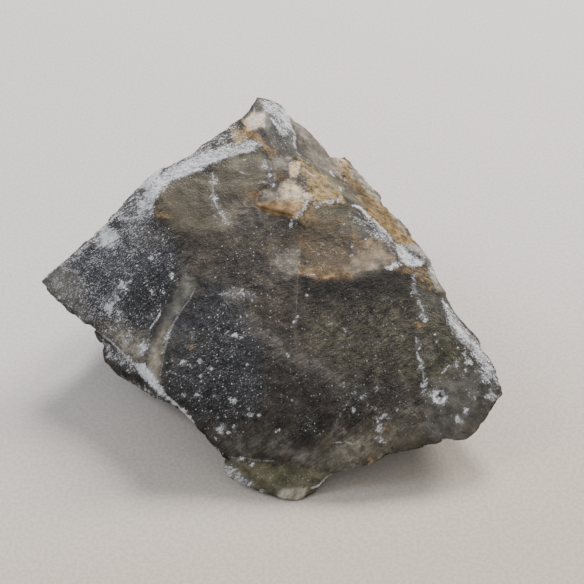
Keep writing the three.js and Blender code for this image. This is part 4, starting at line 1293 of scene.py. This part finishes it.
def stone_material():
    material, tree, shader = new_material("aragonite")
    place = object_place(tree)
    swirl = {"Vector": place, "Scale": 1 / (WARP_SIZE * MM)}
    bend = {0: make(tree, "ShaderNodeTexNoise", swirl, output="Color"), 1: (WARP * MM,) * 3, 2: place}
    warped = make(tree, "ShaderNodeVectorMath", bend, operation="MULTIPLY_ADD")
    noises = stone_noises(place)
    cover = powder_cover(tree, noises).math("MAXIMUM", thread(tree, "white", noises))
    colour = bare_stone(tree, noises)
    colour = curled(warped, noises, colour)
    colour = sugar_and_glints(warped, noises, colour)
    colour = powdered(tree, noises, colour, cover)
    colour = cracks_and_shade(tree, noises, colour)
    colour.feed(shader, "Base Color")
    stone_gloss(tree, noises, cover).feed(shader, "Roughness")
    stone_relief(tree, noises).feed(shader, "Normal")
    shader.inputs["Specular IOR Level"].default_value = SPECULAR
    return material


# ---------------------------------------------------------------- floor, lights and camera

FLOOR_HALF = 1.5  # m
FLOOR_NEAR = (srgb(197, 186, 167), srgb(207, 197, 180))
FLOOR_FAR = (srgb(211, 204, 202), srgb(221, 215, 213))
FLOOR_AXIS = (-0.3, 1.0, 0.0)  # the way along which the floor's tint changes
FLOOR_CHANGE = (-70.0, 40.0)  # mm along it over which the tint changes
FLOOR_SPECK = 0.8  # mm
FLOOR_SPECK_FADE = (0.2, 0.8)
FLOOR_ROUGHNESS = 0.9

# Lamps: name, azimuth (0 is the front, -Y, and 90 the right, +X) and elevation in degrees,
# distance and width in metres, power in watts, colour.
LAMPS = [
    ("key", 136, 36, 1.0, 0.3, 7.6, (1.0, 0.95, 0.9)),
    ("behind", 168, 48, 1.0, 0.3, 8.7, (1.0, 0.97, 0.95)),
    ("side", -95, 42, 1.2, 0.5, 4.5, (0.9, 0.95, 1.0)),
]
ROOM_COLOUR = (0.97, 0.97, 1.0, 1.0)
ROOM_STRENGTH = 0.545


def floor_material():
    material, tree, shader = new_material("pale_floor")
    place = object_place(tree)
    speck = grain(place, FLOOR_SPECK).step_up(*FLOOR_SPECK_FADE)
    near_end, far_end = FLOOR_CHANGE
    far = place.along(FLOOR_AXIS).step_up(near_end * MM, far_end * MM)
    far.blend(speck.blend(*FLOOR_NEAR), speck.blend(*FLOOR_FAR)).feed(shader, "Base Color")
    shader.inputs["Roughness"].default_value = FLOOR_ROUGHNESS
    return material


def make_floor():
    corners = [(x * FLOOR_HALF, y * FLOOR_HALF, 0) for x, y in ((-1, -1), (1, -1), (1, 1), (-1, 1))]
    mesh = bpy.data.meshes.new("floor")
    mesh.from_pydata(corners, [], [(0, 1, 2, 3)])
    mesh.materials.append(floor_material())
    floor = add_object("floor", mesh)


def make_lamp(name, azimuth, elevation, distance, width, power, colour):
    """A round lamp that faces the block."""
    lamp = bpy.data.lights.new(name, "AREA")
    lamp.shape = "DISK"
    lamp.size = width
    lamp.energy = power
    lamp.color = colour
    light = add_object(name, lamp)
    turn, rise = math.radians(azimuth), math.radians(elevation)
    light.location = (distance * math.sin(turn) * math.cos(rise),
                      -distance * math.cos(turn) * math.cos(rise),
                      distance * math.sin(rise) + FACE_HEIGHT * MM)
    light.rotation_euler = (math.pi / 2 - rise, 0, turn)


def make_room():
    """The soft light from all round."""
    world = bpy.data.worlds.new("soft_room")
    world.use_nodes = True
    background = world.node_tree.nodes["Background"]
    background.inputs["Color"].default_value = ROOM_COLOUR
    background.inputs["Strength"].default_value = ROOM_STRENGTH
    bpy.context.scene.world = world


def make_camera():
    camera = add_object("camera", bpy.data.cameras.new("camera"))
    camera.location = (FACE_MIDDLE + VIEW_DISTANCE * TOWARDS_VIEW) * MM
    camera.rotation_euler = (FACE_LEAN, 0, 0)
    camera.data.angle = 2 * math.atan(PLAN_SIZE / 2 * PLAN_UNIT / VIEW_DISTANCE)
    bpy.context.scene.camera = camera


# ---------------------------------------------------------------- the scene

stone = make_block(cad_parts[NODE])
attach(stone, "root")
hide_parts(NODE)
make_floor()
for lamp_settings in LAMPS:
    make_lamp(*lamp_settings)
make_room()
make_camera()
